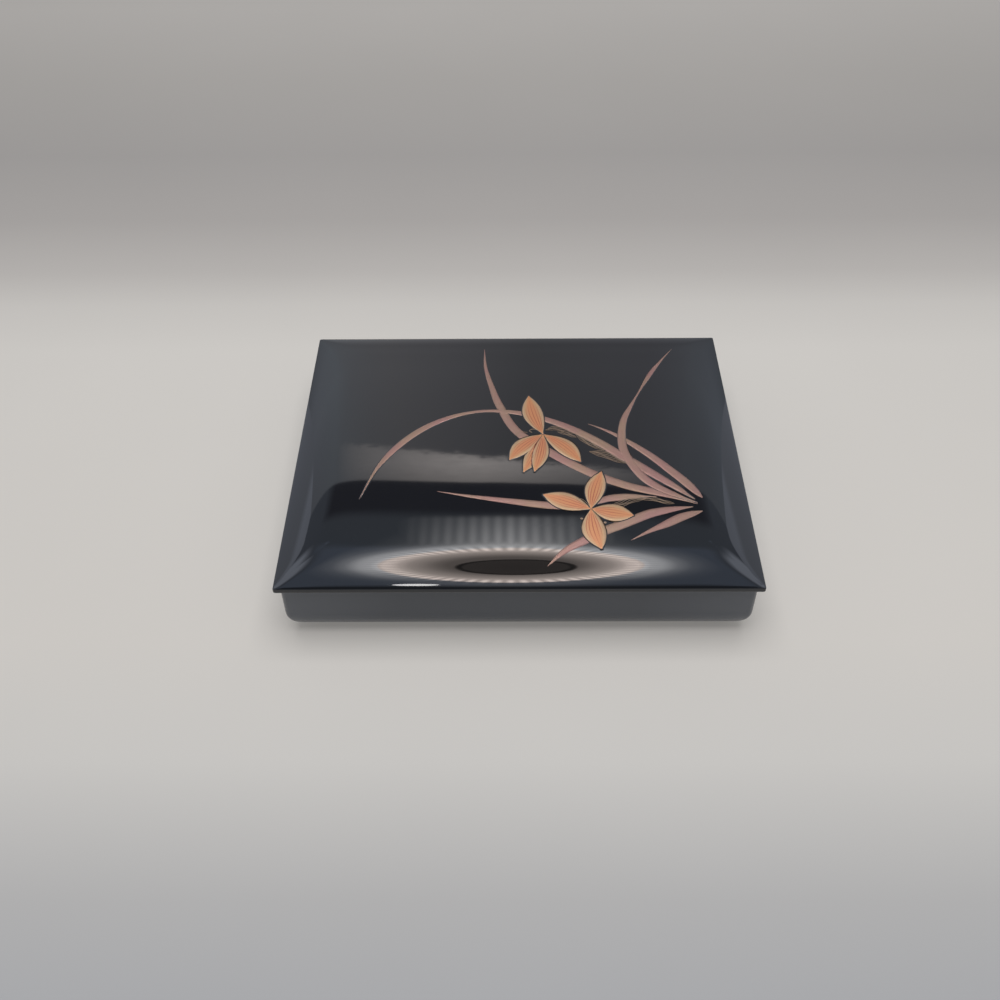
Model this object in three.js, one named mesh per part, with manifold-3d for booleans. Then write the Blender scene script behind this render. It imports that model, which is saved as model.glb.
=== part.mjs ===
// Lacquer box with a crowned lid that overhangs its walls, built on a wood core.
// Millimetres, +Z up, +X along the length. The origin is the middle of the underside.
// Boards are glued up first and shaped afterwards, so every board is cut from one shaped block:
// the walls and floor from the body block, the rails and panel from the lid block.

import * as THREE from 'three';
import { mergeVertices } from 'three/addons/utils/BufferGeometryUtils.js';
import Module from 'manifold-3d';

const wasm = await Module();
wasm.setup();

// Driving dimensions of the lid
const lidLength = 240;
const lidWidth = 198;
const rimHeight = 3.4;
const rimLowerArris = 0.8;
const rimUpperArris = 0.5;
const lidCornerRadius = 2;
const rollWidth = 25;
const rollStartAngle = THREE.MathUtils.degToRad(22);
const rollFade = 2.5;
const crownRise = 3.2;
const crownEndLength = 45;
const crownEndFade = 3;
const railWidth = 26;
const panelRecess = 3;
const panelTongueLength = 4;
const panelTongueThickness = 2;
const panelTongueLift = 1;

// Driving dimensions of the body
const lidOverhang = 2.4;
const bodyHeight = 36.3;
const wallThickness = 8;
const bottomRadius = 16.5;
const bodyCornerRadius = 3;
const wallTopArris = 0.6;
const floorThickness = 9.5;
const floorTongueLength = 2.5;
const floorTongueThickness = 2;
const floorTongueShoulder = 1;

// Driving dimensions of the strips under the lid that drop inside the walls
const stripWidth = 5;
const stripHeight = 4;
const stripEdgeRadius = 1.2;
const stripRunningGap = 0.6;

// Driving dimensions of the flat keys let into the mitred corners
const wallKeyLeg = 12;
const wallKeyThickness = 2;
const wallKeyMargin = 3.5;
const lidKeyLeg = 30;
const lidKeyThickness = 1.4;

// Glue lines, clearances and the one overrun of every cut
const mitreGap = 0.3;
const keyGap = 0.3;
const tongueEndGap = 0.3;
const cutOverrun = 1;

// Smoothness of the faceted surfaces
const lidStepsAlong = 24;
const lidStepsAcross = 20;
const rollSteps = 9;
const arrisSteps = 3;
const bottomArcSteps = 10;
const cornerSteps = 6;

// Sizes that follow from the driving dimensions
const bodyLength = lidLength - 2 * lidOverhang;
const bodyWidth = lidWidth - 2 * lidOverhang;
const innerLength = bodyLength - 2 * wallThickness;
const innerWidth = bodyWidth - 2 * wallThickness;
const panelLength = lidLength - 2 * railWidth;
const panelWidth = lidWidth - 2 * railWidth;
const mitreShift = mitreGap / Math.SQRT2;

const lacquer = { color: 0x0b0c10, roughness: 0.08, metalness: 0 };

// One level of a block: a rectangle at some inset from the block's outline, at some height.
function level(inset, height, crowned = false) {
  return { inset, height, crowned };
}

// Levels along an arc that turns between two angles about a centre given as inset and height.
function arcLevels(centreInset, centreHeight, radius, startAngle, endAngle, steps, crowned = false) {
  return Array.from({ length: steps + 1 }, (_, step) => {
    const angle = THREE.MathUtils.lerp(startAngle, endAngle, step / steps);
    const inset = centreInset + radius * Math.cos(angle);
    return level(inset, centreHeight + radius * Math.sin(angle), crowned);
  });
}

// The crown of the lid's top: an even arc across the width, straight along it and closing at both ends.
function crownHeight(x, y) {
  const endShare = Math.max(0, 1 - (lidLength / 2 - Math.abs(x)) / crownEndLength);
  const acrossShare = y / (lidWidth / 2);
  return crownRise * (1 - endShare ** crownEndFade) * (1 - acrossShare ** 2);
}

// Levels of the roll: steepest where it leaves the rim, fading into the crown without a line.
function rollLevels(startInset, startHeight) {
  const reach = rollWidth - startInset;
  const rise = reach * Math.tan(rollStartAngle) / rollFade;
  return Array.from({ length: rollSteps + 1 }, (_, step) => {
    const share = step / rollSteps;
    const height = startHeight + rise * (1 - (1 - share) ** rollFade);
    return level(startInset + reach * share, height, true);
  });
}

// A closed block from a stack of rectangular levels, with a grid of faces on its top.
function stackedBlock(length, width, levels, stepsAlong, stepsAcross) {
  const positions = [];
  const indices = [];
  const grid = Array.from({ length: stepsAlong + 1 }, () => []);
  const outline = [];
  for (let i = 0; i < stepsAlong; i += 1) outline.push([i, 0]);
  for (let j = 0; j < stepsAcross; j += 1) outline.push([stepsAlong, j]);
  for (let i = stepsAlong; i > 0; i -= 1) outline.push([i, stepsAcross]);
  for (let j = stepsAcross; j > 0; j -= 1) outline.push([0, j]);

  const addPoint = ({ inset, height, crowned }, i, j) => {
    const x = (length - 2 * inset) * (i / stepsAlong - 1 / 2);
    const y = (width - 2 * inset) * (j / stepsAcross - 1 / 2);
    positions.push(x, y, height + (crowned ? crownHeight(x, y) : 0));
    return positions.length / 3 - 1;
  };

  const rings = levels.map((one) => outline.map(([i, j]) => addPoint(one, i, j)));
  rings.slice(1).forEach((upper, index) => {
    const lower = rings[index];
    upper.forEach((point, at) => {
      const next = (at + 1) % outline.length;
      indices.push(lower[at], lower[next], upper[next], lower[at], upper[next], point);
    });
  });

  const top = levels[levels.length - 1];
  outline.forEach(([i, j], at) => {
    grid[i][j] = rings[rings.length - 1][at];
  });
  for (let i = 1; i < stepsAlong; i += 1) {
    for (let j = 1; j < stepsAcross; j += 1) grid[i][j] = addPoint(top, i, j);
  }
  for (let i = 0; i < stepsAlong; i += 1) {
    for (let j = 0; j < stepsAcross; j += 1) {
      indices.push(grid[i][j], grid[i + 1][j], grid[i + 1][j + 1]);
      indices.push(grid[i][j], grid[i + 1][j + 1], grid[i][j + 1]);
    }
  }

  positions.push(0, 0, levels[0].height);
  const underside = positions.length / 3 - 1;
  rings[0].forEach((point, at) => {
    indices.push(underside, rings[0][(at + 1) % outline.length], point);
  });

  const geometry = new THREE.BufferGeometry();
  geometry.setAttribute('position', new THREE.Float32BufferAttribute(positions, 3));
  geometry.setIndex(indices);
  return geometry;
}

// A closed three.js geometry as a solid that can be cut and joined.
function solidFrom(geometry) {
  const bare = geometry.clone();
  bare.deleteAttribute('normal');
  bare.deleteAttribute('uv');
  const merged = mergeVertices(bare);
  const mesh = new wasm.Mesh({
    numProp: 3,
    vertProperties: new Float32Array(merged.attributes.position.array),
    triVerts: new Uint32Array(merged.index.array),
  });
  return new wasm.Manifold(mesh);
}

// A solid as a named mesh of the assembly.
function meshFrom(name, solid, finish) {
  const { vertProperties, triVerts } = solid.getMesh();
  const geometry = new THREE.BufferGeometry();
  geometry.setAttribute('position', new THREE.BufferAttribute(new Float32Array(vertProperties), 3));
  geometry.setIndex(new THREE.BufferAttribute(new Uint32Array(triVerts), 1));
  geometry.computeVertexNormals();
  const mesh = new THREE.Mesh(geometry, new THREE.MeshStandardMaterial(finish));
  mesh.name = name;
  return mesh;
}

// A flat plate with the given plan, from one height to another.
function plate(shape, bottom, top) {
  const geometry = new THREE.ExtrudeGeometry(shape, {
    depth: top - bottom,
    bevelEnabled: false,
    curveSegments: cornerSteps,
  });
  return solidFrom(geometry.translate(0, 0, bottom));
}

// A plan through the given corner points.
function polygon(points) {
  return new THREE.Shape(points.map(([x, y]) => new THREE.Vector2(x, y)));
}

// A rectangle about the origin.
function rectangle(length, width) {
  const x = length / 2;
  const y = width / 2;
  return polygon([[-x, -y], [x, -y], [x, y], [-x, y]]);
}

// A rectangle about the origin whose four corners are rounded.
function roundedRectangle(length, width, radius) {
  const x = length / 2;
  const y = width / 2;
  const shape = new THREE.Shape();
  shape.moveTo(radius - x, -y);
  shape.lineTo(x - radius, -y);
  shape.absarc(x - radius, radius - y, radius, -Math.PI / 2, 0);
  shape.lineTo(x, y - radius);
  shape.absarc(x - radius, y - radius, radius, 0, Math.PI / 2);
  shape.lineTo(radius - x, y);
  shape.absarc(radius - x, y - radius, radius, Math.PI / 2, Math.PI);
  shape.lineTo(-x, radius - y);
  shape.absarc(radius - x, radius - y, radius, Math.PI, 3 * Math.PI / 2);
  return shape;
}

// The four sides of a frame: how far along the side and how far out from the middle, as x and y.
const sides = {
  front: { alongX: true, place: (along, out) => [along, -out] },
  back: { alongX: true, place: (along, out) => [-along, out] },
  left: { alongX: false, place: (along, out) => [-out, -along] },
  right: { alongX: false, place: (along, out) => [out, along] },
};

// The four corners, by the signs of x and y.
const corners = {
  front_left: [-1, -1],
  front_right: [1, -1],
  back_left: [-1, 1],
  back_right: [1, 1],
};

// The plan of one mitred board of a frame, run past the outline so that the block trims it.
function mitredPlan(side, length, width, boardWidth) {
  const halfAlong = (side.alongX ? length : width) / 2;
  const halfOut = (side.alongX ? width : length) / 2;
  const outerAlong = halfAlong + cutOverrun - mitreShift;
  const innerAlong = halfAlong - boardWidth - mitreShift;
  return polygon([
    side.place(-outerAlong, halfOut + cutOverrun),
    side.place(outerAlong, halfOut + cutOverrun),
    side.place(innerAlong, halfOut - boardWidth),
    side.place(-innerAlong, halfOut - boardWidth),
  ]);
}

// The plan of a three-cornered key across one corner, with legs measured from the sharp corner.
function keyPlan([signX, signY], length, width, leg) {
  const x = length / 2;
  const y = width / 2;
  return polygon([
    [signX * (x + cutOverrun), signY * (y + cutOverrun)],
    [signX * (x + cutOverrun), signY * (y - leg - cutOverrun)],
    [signX * (x - leg - cutOverrun), signY * (y + cutOverrun)],
  ]);
}

// The outer form of the body: rounded lower edges, straight faces, eased top edge.
function bodyBlock() {
  const roundness = Math.min(bottomRadius, bodyHeight - wallTopArris);
  const topCentre = bodyHeight - wallTopArris;
  const levels = [
    ...arcLevels(roundness, roundness, roundness, 3 * Math.PI / 2, Math.PI, bottomArcSteps),
    ...arcLevels(wallTopArris, topCentre, wallTopArris, Math.PI, Math.PI / 2, arrisSteps),
  ];
  const block = solidFrom(stackedBlock(bodyLength, bodyWidth, levels, 1, 1));
  const outline = roundedRectangle(bodyLength, bodyWidth, bodyCornerRadius);
  return block.intersect(plate(outline, -cutOverrun, bodyHeight + cutOverrun));
}

// The outer form of the lid: eased rim, the roll that rises from it, and the crown.
function lidBlock() {
  const rollNormal = Math.PI / 2 + rollStartAngle;
  const upperCentre = rimHeight - rimUpperArris * Math.sin(rollNormal);
  const rollStart = rimUpperArris * (1 + Math.cos(rollNormal));
  const roll = rollLevels(rollStart, rimHeight);
  const levels = [
    ...arcLevels(rimLowerArris, rimLowerArris, rimLowerArris, 3 * Math.PI / 2, Math.PI, arrisSteps),
    ...arcLevels(rimUpperArris, upperCentre, rimUpperArris, Math.PI, rollNormal, arrisSteps, true),
    ...roll.slice(1),
  ];
  const block = solidFrom(stackedBlock(lidLength, lidWidth, levels, lidStepsAlong, lidStepsAcross));
  const outline = roundedRectangle(lidLength, lidWidth, lidCornerRadius);
  const top = roll[roll.length - 1].height + crownRise;
  return block.intersect(plate(outline, -cutOverrun, top + cutOverrun));
}

// The mouth of the body: the space inside the walls, eased at its top edge.
function mouthCutter() {
  const levels = [
    level(wallThickness, floorThickness),
    level(wallThickness, bodyHeight - wallTopArris),
    level(wallThickness - wallTopArris, bodyHeight),
    level(wallThickness - wallTopArris, bodyHeight + cutOverrun),
  ];
  return solidFrom(stackedBlock(bodyLength, bodyWidth, levels, 1, 1));
}

// The heights at which the keys of the walls lie, clear of the floor and of the top edge.
function wallKeyHeights() {
  const lowest = floorThickness + wallKeyMargin;
  const highest = bodyHeight - wallTopArris - wallKeyMargin - wallKeyThickness;
  return { lower: lowest, upper: highest };
}

// The body: four mitred walls, the floor let into their groove, and the corner keys.
function makeBody() {
  const group = new THREE.Group();
  const block = bodyBlock();
  const mouth = mouthCutter();
  const tongueTop = floorThickness - floorTongueShoulder;
  const tongueBottom = tongueTop - floorTongueThickness;
  const grooveReach = 2 * (floorTongueLength + tongueEndGap);
  const groovePlan = rectangle(innerLength + grooveReach, innerWidth + grooveReach);
  const groove = plate(groovePlan, tongueBottom, tongueTop);

  const keys = [];
  const kerfs = [];
  Object.entries(wallKeyHeights()).forEach(([rank, bottom]) => {
    Object.entries(corners).forEach(([corner, signs]) => {
      const top = bottom + wallKeyThickness;
      const kerfPlan = keyPlan(signs, bodyLength, bodyWidth, wallKeyLeg + keyGap * Math.SQRT2);
      kerfs.push(plate(kerfPlan, bottom, top));
      const key = plate(keyPlan(signs, bodyLength, bodyWidth, wallKeyLeg), bottom, top);
      keys.push(meshFrom(`wall_key_${corner}_${rank}`, key.intersect(block), lacquer));
    });
  });

  Object.entries(sides).forEach(([name, side]) => {
    const plan = mitredPlan(side, bodyLength, bodyWidth, wallThickness);
    const board = plate(plan, -cutOverrun, bodyHeight + cutOverrun).intersect(block);
    const shaped = board.subtract(groove).subtract(mouth);
    const wall = kerfs.reduce((rest, kerf) => rest.subtract(kerf), shaped);
    group.add(meshFrom(`wall_${name}`, wall, lacquer));
  });

  const tonguePlan = rectangle(innerLength + 2 * floorTongueLength, innerWidth + 2 * floorTongueLength);
  const tongue = plate(tonguePlan, tongueBottom, tongueTop);
  const floor = plate(rectangle(innerLength, innerWidth), -cutOverrun, floorThickness);
  group.add(meshFrom('floor_board', floor.intersect(block).add(tongue), lacquer));
  group.add(...keys);
  return group;
}

// The lid: four mitred rails, the crowned panel in their groove, and the corner keys.
function makeLid() {
  const group = new THREE.Group();
  const block = lidBlock();
  const tongueBottom = panelRecess + panelTongueLift;
  const tongueTop = tongueBottom + panelTongueThickness;
  const grooveReach = 2 * (panelTongueLength + tongueEndGap);
  const groovePlan = rectangle(panelLength + grooveReach, panelWidth + grooveReach);
  const groove = plate(groovePlan, tongueBottom, tongueTop);
  const top = rimHeight + rollWidth + crownRise;

  const keyBottom = (rimHeight - lidKeyThickness) / 2;
  const keyTop = keyBottom + lidKeyThickness;
  const keys = [];
  const kerfs = [];
  Object.entries(corners).forEach(([corner, signs]) => {
    const kerfPlan = keyPlan(signs, lidLength, lidWidth, lidKeyLeg + keyGap * Math.SQRT2);
    kerfs.push(plate(kerfPlan, keyBottom, keyTop));
    const key = plate(keyPlan(signs, lidLength, lidWidth, lidKeyLeg), keyBottom, keyTop);
    keys.push(meshFrom(`lid_key_${corner}`, key.intersect(block), lacquer));
  });

  Object.entries(sides).forEach(([name, side]) => {
    const plan = mitredPlan(side, lidLength, lidWidth, railWidth);
    const board = plate(plan, -cutOverrun, top).intersect(block).subtract(groove);
    const rail = kerfs.reduce((rest, kerf) => rest.subtract(kerf), board);
    group.add(meshFrom(`lid_rail_${name}`, rail, lacquer));
  });

  const tonguePlan = rectangle(panelLength + 2 * panelTongueLength, panelWidth + 2 * panelTongueLength);
  const tongue = plate(tonguePlan, tongueBottom, tongueTop);
  const field = plate(rectangle(panelLength, panelWidth), panelRecess, top).intersect(block);
  group.add(meshFrom('lid_panel', field.add(tongue), lacquer));
  group.add(...keys, ...makeStrips());
  return group;
}

// The section of a locating strip: flat top glued to the rails, rounded lower edges.
function stripSection() {
  const radius = Math.min(stripEdgeRadius, stripWidth / 2, stripHeight);
  const half = stripWidth / 2;
  const shape = new THREE.Shape();
  shape.moveTo(-half, 0);
  shape.lineTo(-half, radius - stripHeight);
  shape.absarc(radius - half, radius - stripHeight, radius, Math.PI, 3 * Math.PI / 2);
  shape.lineTo(half - radius, -stripHeight);
  shape.absarc(half - radius, radius - stripHeight, radius, -Math.PI / 2, 0);
  shape.lineTo(half, 0);
  return shape;
}

// The four strips under the lid: two run the whole length, two butt between them.
function makeStrips() {
  const spanLength = innerLength - 2 * stripRunningGap;
  const spanWidth = innerWidth - 2 * stripRunningGap;
  return Object.entries(sides).map(([name, side]) => {
    const run = side.alongX ? spanLength : spanWidth - 2 * stripWidth;
    const out = ((side.alongX ? spanWidth : spanLength) - stripWidth) / 2;
    const geometry = new THREE.ExtrudeGeometry(stripSection(), {
      depth: run,
      bevelEnabled: false,
      curveSegments: arrisSteps,
    });
    geometry.translate(0, 0, -run / 2);
    geometry.rotateX(Math.PI / 2);
    if (side.alongX) geometry.rotateZ(Math.PI / 2);
    const mesh = meshFrom(`lid_strip_${name}`, solidFrom(geometry), lacquer);
    const [x, y] = side.place(0, out);
    mesh.position.set(x, y, 0);
    return mesh;
  });
}

const box = new THREE.Group();
const lid = makeLid();
lid.position.z = bodyHeight;
box.add(makeBody(), lid);

export default box;
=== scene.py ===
"""Dresses the lacquer box: seamless black lacquer over its boards and an orchid spray on its lid."""

import logging
import math
from dataclasses import dataclass
from enum import Enum
from typing import Callable, Iterable, Sequence

import bmesh
import bpy
from bmesh.types import BMEdge, BMesh, BMVert
from bpy.types import Material, Node, NodeSocket, NodeTree, Object
from mathutils import Matrix, Vector


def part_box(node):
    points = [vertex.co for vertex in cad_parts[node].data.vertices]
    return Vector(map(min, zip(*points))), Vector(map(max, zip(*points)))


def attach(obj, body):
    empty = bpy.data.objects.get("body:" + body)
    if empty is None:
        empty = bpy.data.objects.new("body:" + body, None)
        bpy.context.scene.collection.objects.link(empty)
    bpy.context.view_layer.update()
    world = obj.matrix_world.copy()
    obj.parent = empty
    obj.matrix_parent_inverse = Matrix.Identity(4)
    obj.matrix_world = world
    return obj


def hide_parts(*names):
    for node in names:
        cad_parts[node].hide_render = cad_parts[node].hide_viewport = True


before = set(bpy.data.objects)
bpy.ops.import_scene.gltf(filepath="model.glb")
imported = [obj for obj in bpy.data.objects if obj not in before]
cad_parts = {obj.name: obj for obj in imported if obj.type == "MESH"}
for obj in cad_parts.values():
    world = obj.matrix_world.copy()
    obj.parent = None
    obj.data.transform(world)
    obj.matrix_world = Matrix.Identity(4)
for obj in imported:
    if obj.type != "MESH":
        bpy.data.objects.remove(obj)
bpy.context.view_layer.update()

log = logging.getLogger("lacquer_box")

MM = 0.001
PIXELS = 1000
SENSOR_MM = 36.0
LEAST_WIDTH_MM = 0.15

Plan = tuple[float, float]
Span = tuple[float, float]
Colour = tuple[float, float, float]
Amounts = tuple[tuple[float, float], ...]
Tints = tuple[tuple[float, Colour], ...]
Route = Callable[[float], tuple[Vector, Vector, float]]

BLACK: Colour = (0.0, 0.0, 0.0)
WHITE: Colour = (1.0, 1.0, 1.0)


class Body(Enum):
    """The two bodies of the frame that the pieces ride on."""

    BOX = "box_body"
    LID = "lid"


class Slot(Enum):
    """The record's material slots."""

    BODY = "body_lacquer"
    LID = "lid_lacquer"
    BLADE = "blade_powder"
    PETAL = "petal_powder"
    LINE = "line_lacquer"


class Nodes:
    """A material's node tree, with short calls to add and join its nodes."""

    def __init__(self, tree: NodeTree) -> None:
        """Empties the tree.

        Args:
            tree: The node tree to fill.
        """
        self.tree = tree
        tree.nodes.clear()

    def add(self, kind: str, **values: object) -> Node:
        """Adds a node and sets its properties and inputs.

        Args:
            kind: The node's type name, without its ShaderNode prefix.
            values: Properties by name, or inputs by name with underscores for spaces.

        Returns:
            The new node.
        """
        node = self.tree.nodes.new("ShaderNode" + kind)
        for name, value in values.items():
            if hasattr(node, name):
                setattr(node, name, value)
            else:
                self.feed(node.inputs[name.replace("_", " ")], value)
        return node

    def feed(self, socket: NodeSocket, value: object) -> None:
        """Joins a socket to another socket, or gives it a plain value.

        Args:
            socket: The input to feed.
            value: An output socket, a number or a colour.
        """
        if isinstance(value, NodeSocket):
            self.tree.links.new(value, socket)
        elif isinstance(value, tuple) and len(value) == 3 and socket.type == "RGBA":
            socket.default_value = (*value, 1.0)
        else:
            socket.default_value = value

    def place(self) -> NodeSocket:
        """Object coordinates, in metres."""
        return self.add("TexCoord").outputs["Object"]

    def axis(self, place: NodeSocket, name: str) -> NodeSocket:
        """One axis of a place, by its name."""
        return self.add("SeparateXYZ", Vector=place).outputs[name]

    def noise(self, place: NodeSocket, scale: float, detail: float, roughness: float = 0.5) -> NodeSocket:
        """Adds a noise pattern.

        Args:
            place: The coordinates that it reads.
            scale: How fine it is.
            detail: How many finer layers it has.
            roughness: How strong the finer layers are.

        Returns:
            The noise, about 0 to 1.
        """
        node = self.add("TexNoise", Vector=place, Scale=scale, Detail=detail, Roughness=roughness)
        return node.outputs["Fac"]

    def math(self, operation: str, first: object, second: object = 0.0) -> NodeSocket:
        """Adds a math node.

        Args:
            operation: The operation's name.
            first: A number or a socket.
            second: A number or a socket.

        Returns:
            The node's output.
        """
        node = self.add("Math", operation=operation)
        self.feed(node.inputs[0], first)
        self.feed(node.inputs[1], second)
        return node.outputs[0]

    def share(self, value: object, start: float, end: float, low: float = 0.0,
              high: float = 1.0) -> NodeSocket:
        """Turns a place into a share between two places, or into a value between two values.

        Args:
            value: The place, in metres.
            start: Where the outcome is low, in millimetres.
            end: Where the outcome is high, in millimetres.
            low: The outcome at the start and before it.
            high: The outcome at the end and past it.

        Returns:
            The outcome.
        """
        node = self.add("MapRange", Value=value, From_Min=start * MM, From_Max=end * MM,
                        To_Min=low, To_Max=high)
        return node.outputs["Result"]

    def ramp(self, factor: NodeSocket, stops: Sequence[tuple[float, Colour]]) -> NodeSocket:
        """Adds a colour ramp.

        Args:
            factor: The socket that runs along the ramp.
            stops: Positions and colours, in order.

        Returns:
            The ramp's colour output.
        """
        node = self.add("ValToRGB", Fac=factor)
        elements = node.color_ramp.elements
        while len(elements) < len(stops):
            elements.new(1.0)
        for element, (position, colour) in zip(elements, stops):
            element.position = position
            element.color = (*colour, 1.0)
        return node.outputs["Color"]

    def mix(self, factor: object, first: object, second: object) -> NodeSocket:
        """Adds a colour mix.

        Args:
            factor: A number or a socket, 0 for the first colour.
            first: A colour or a socket.
            second: A colour or a socket.

        Returns:
            The mixed colour.
        """
        node = self.add("Mix", data_type="RGBA", Factor=factor)
        colours = [socket for socket in node.inputs if socket.type == "RGBA"]
        self.feed(colours[0], first)
        self.feed(colours[1], second)
        return next(socket for socket in node.outputs if socket.type == "RGBA")

    def bump(self, shader: Node, height: float, pattern: NodeSocket) -> None:
        """Raises a shader's surface by a pattern.

        Args:
            shader: The shader.
            height: How far the pattern's 1 stands above its 0, in millimetres.
            pattern: The pattern.
        """
        node = self.add("Bump", Strength=1.0, Distance=height * MM, Height=pattern)
        self.feed(shader.inputs["Normal"], node.outputs["Normal"])


def blank_material(name: str) -> tuple[Material, Nodes]:
    """Starts a material without any nodes.

    Args:
        name: The material's name.

    Returns:
        The material and its nodes.
    """
    material = bpy.data.materials.new(name)
    material.use_nodes = True
    return material, Nodes(material.node_tree)


def new_material(name: str) -> tuple[Material, Nodes, Node]:
    """Starts a material with a Principled shader joined to its output.

    Args:
        name: The material's name.

    Returns:
        The material, its nodes and the Principled shader.
    """
    material, nodes = blank_material(name)
    shader = nodes.add("BsdfPrincipled")
    nodes.add("OutputMaterial", Surface=shader.outputs["BSDF"])
    return material, nodes, shader


@dataclass(frozen=True)
class LacquerFinish:
    """Black lacquer: depth, a faint flow in the polish, hairlines, settled dust, a satin rim with a painted
    highlight along its lower edge, and a painted sheen towards the box's ends.

    Places along the box are in millimetres.
    """

    name: str
    base: Colour
    haze: Colour
    roughness: float
    rough_spread: float
    wave_height: float
    hairline_strength: float
    rim_top: float = 0.0
    rim_foot: float = 0.0
    rim_blend: float = 0.5
    rim_base: Colour = (0.012, 0.015, 0.021)
    rim_edge_highlight: Colour = (0.19, 0.2, 0.22)
    rim_highlight_span: Span = (0.9, 0.2)
    rim_roughness: float = 0.18
    painted_end_sheen: Colour = BLACK
    painted_sheen_span: Span = (60.0, 112.0)
    wave_scale: float = 45.0
    mottle_scale: float = 18.0
    hairline_scale: float = 9.0
    hairline_stretch: float = 60.0
    hairline_turns: Span = (0.5, 2.2)
    hairline_least: float = 0.72
    dust_scale: float = 900.0
    dust_size: float = 0.035
    dust_tone: Colour = (0.09, 0.09, 0.09)
    refraction: float = 1.52

    def build(self) -> Material:
        """Makes the lacquer's material.

        Returns:
            The material.
        """
        material, nodes, shader = new_material(self.name)
        place = nodes.place()
        mottle = nodes.noise(place, self.mottle_scale, 4.0)
        dust = nodes.add("TexVoronoi", Vector=place, Scale=self.dust_scale)
        speck = nodes.math("LESS_THAN", dust.outputs["Distance"], self.dust_size)
        dusty = nodes.mix(speck, nodes.mix(mottle, self.base, self.haze), self.dust_tone)

        height = nodes.axis(place, "Z")
        on_rim = nodes.share(height, self.rim_top, self.rim_top - self.rim_blend)
        # The rim is tinted, and a lighter line along its lower arris is a painted highlight.
        highlight_top, highlight_foot = (self.rim_foot + above for above in self.rim_highlight_span)
        rim_tint_and_highlight = nodes.mix(nodes.share(height, highlight_top, highlight_foot), self.rim_base, self.rim_edge_highlight)
        # Painted sheen: the colour greys towards the box's ends.
        coated = self.paint_end_sheen(nodes, place, nodes.mix(on_rim, dusty, rim_tint_and_highlight))
        nodes.feed(shader.inputs["Base Color"], coated)

        rough = nodes.math("ADD", nodes.math("MULTIPLY", mottle, self.rough_spread), self.roughness)
        scratched = nodes.math("MULTIPLY", self.hairlines(nodes, place), self.hairline_strength)
        worn = nodes.math("MULTIPLY", on_rim, self.rim_roughness)
        nodes.feed(shader.inputs["Roughness"], nodes.math("ADD", nodes.math("ADD", rough, scratched), worn))
        shader.inputs["IOR"].default_value = self.refraction
        nodes.bump(shader, self.wave_height, nodes.noise(place, self.wave_scale, 1.0))
        return material

    def paint_end_sheen(self, nodes: Nodes, place: NodeSocket, colour: NodeSocket) -> NodeSocket:
        """Adds painted light: a grey sheen that brightens the lacquer towards the box's ends.

        Args:
            nodes: The material's nodes.
            place: Object coordinates.
            colour: The colour without the painted sheen.

        Returns:
            The colour with it.
        """
        off_middle = nodes.math("ABSOLUTE", nodes.axis(place, "X"))
        grey = nodes.add("VectorMath", operation="SCALE", Scale=nodes.share(off_middle, *self.painted_sheen_span))
        nodes.feed(grey.inputs[0], self.painted_end_sheen)
        added = nodes.add("VectorMath", operation="ADD")
        nodes.feed(added.inputs[0], colour)
        nodes.feed(added.inputs[1], grey.outputs["Vector"])
        return added.outputs["Vector"]

    def hairlines(self, nodes: Nodes, place: NodeSocket) -> NodeSocket:
        """Adds fine scratches in two directions.

        Args:
            nodes: The material's nodes.
            place: Object coordinates.

        Returns:
            1 on a scratch, 0 elsewhere.
        """
        found: NodeSocket | float = 0.0
        for turn in self.hairline_turns:
            turned = nodes.add("Mapping", Vector=place)
            turned.inputs["Rotation"].default_value = (0.0, 0.0, turn)
            turned.inputs["Scale"].default_value = (1.0, self.hairline_stretch, 1.0)
            noise = nodes.noise(turned.outputs["Vector"], self.hairline_scale, 2.0)
            found = nodes.math("MAXIMUM", nodes.math("GREATER_THAN", noise, self.hairline_least), found)
        return found


@dataclass(frozen=True)
class PowderFinish:
    """Powder laid in lacquer: the fine grain and the soft gloss that blades and petals share."""

    name: str
    roughness: float
    metalness: float
    grain_shade: float
    grain_scale: float = 2600.0
    grain_height: float = 0.02

    def lay(self, nodes: Nodes, shader: Node, place: NodeSocket, colour: NodeSocket) -> None:
        """Gives a shader the powder's colour, grain and gloss.

        Args:
            nodes: The material's nodes.
            shader: The shader.
            place: Object coordinates.
            colour: The powder's colour without its grain.
        """
        grain = nodes.noise(place, self.grain_scale, 1.0)
        dark = nodes.mix(self.grain_shade, BLACK, colour)
        nodes.feed(shader.inputs["Base Color"], nodes.mix(grain, dark, colour))
        shader.inputs["Roughness"].default_value = self.roughness
        shader.inputs["Metallic"].default_value = self.metalness
        nodes.bump(shader, self.grain_height, grain)


@dataclass(frozen=True)
class BladeFinish(PowderFinish):
    """Rose-bronze powder that drifts between pink and tan along a blade."""

    name: str = "rose_bronze_powder"
    roughness: float = 0.42
    metalness: float = 0.15
    grain_shade: float = 0.75
    pink: Colour = (0.355, 0.185, 0.162)
    tan: Colour = (0.35, 0.222, 0.155)
    drift_scale: float = 60.0
    drift_stops: Tints = ((0.35, BLACK), (0.65, WHITE))

    def build(self) -> Material:
        """Makes the powder's material.

        Returns:
            The material.
        """
        material, nodes, shader = new_material(self.name)
        place = nodes.place()
        drift = nodes.ramp(nodes.noise(place, self.drift_scale, 3.0), self.drift_stops)
        self.lay(nodes, shader, place, nodes.mix(drift, self.pink, self.tan))
        return material


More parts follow.
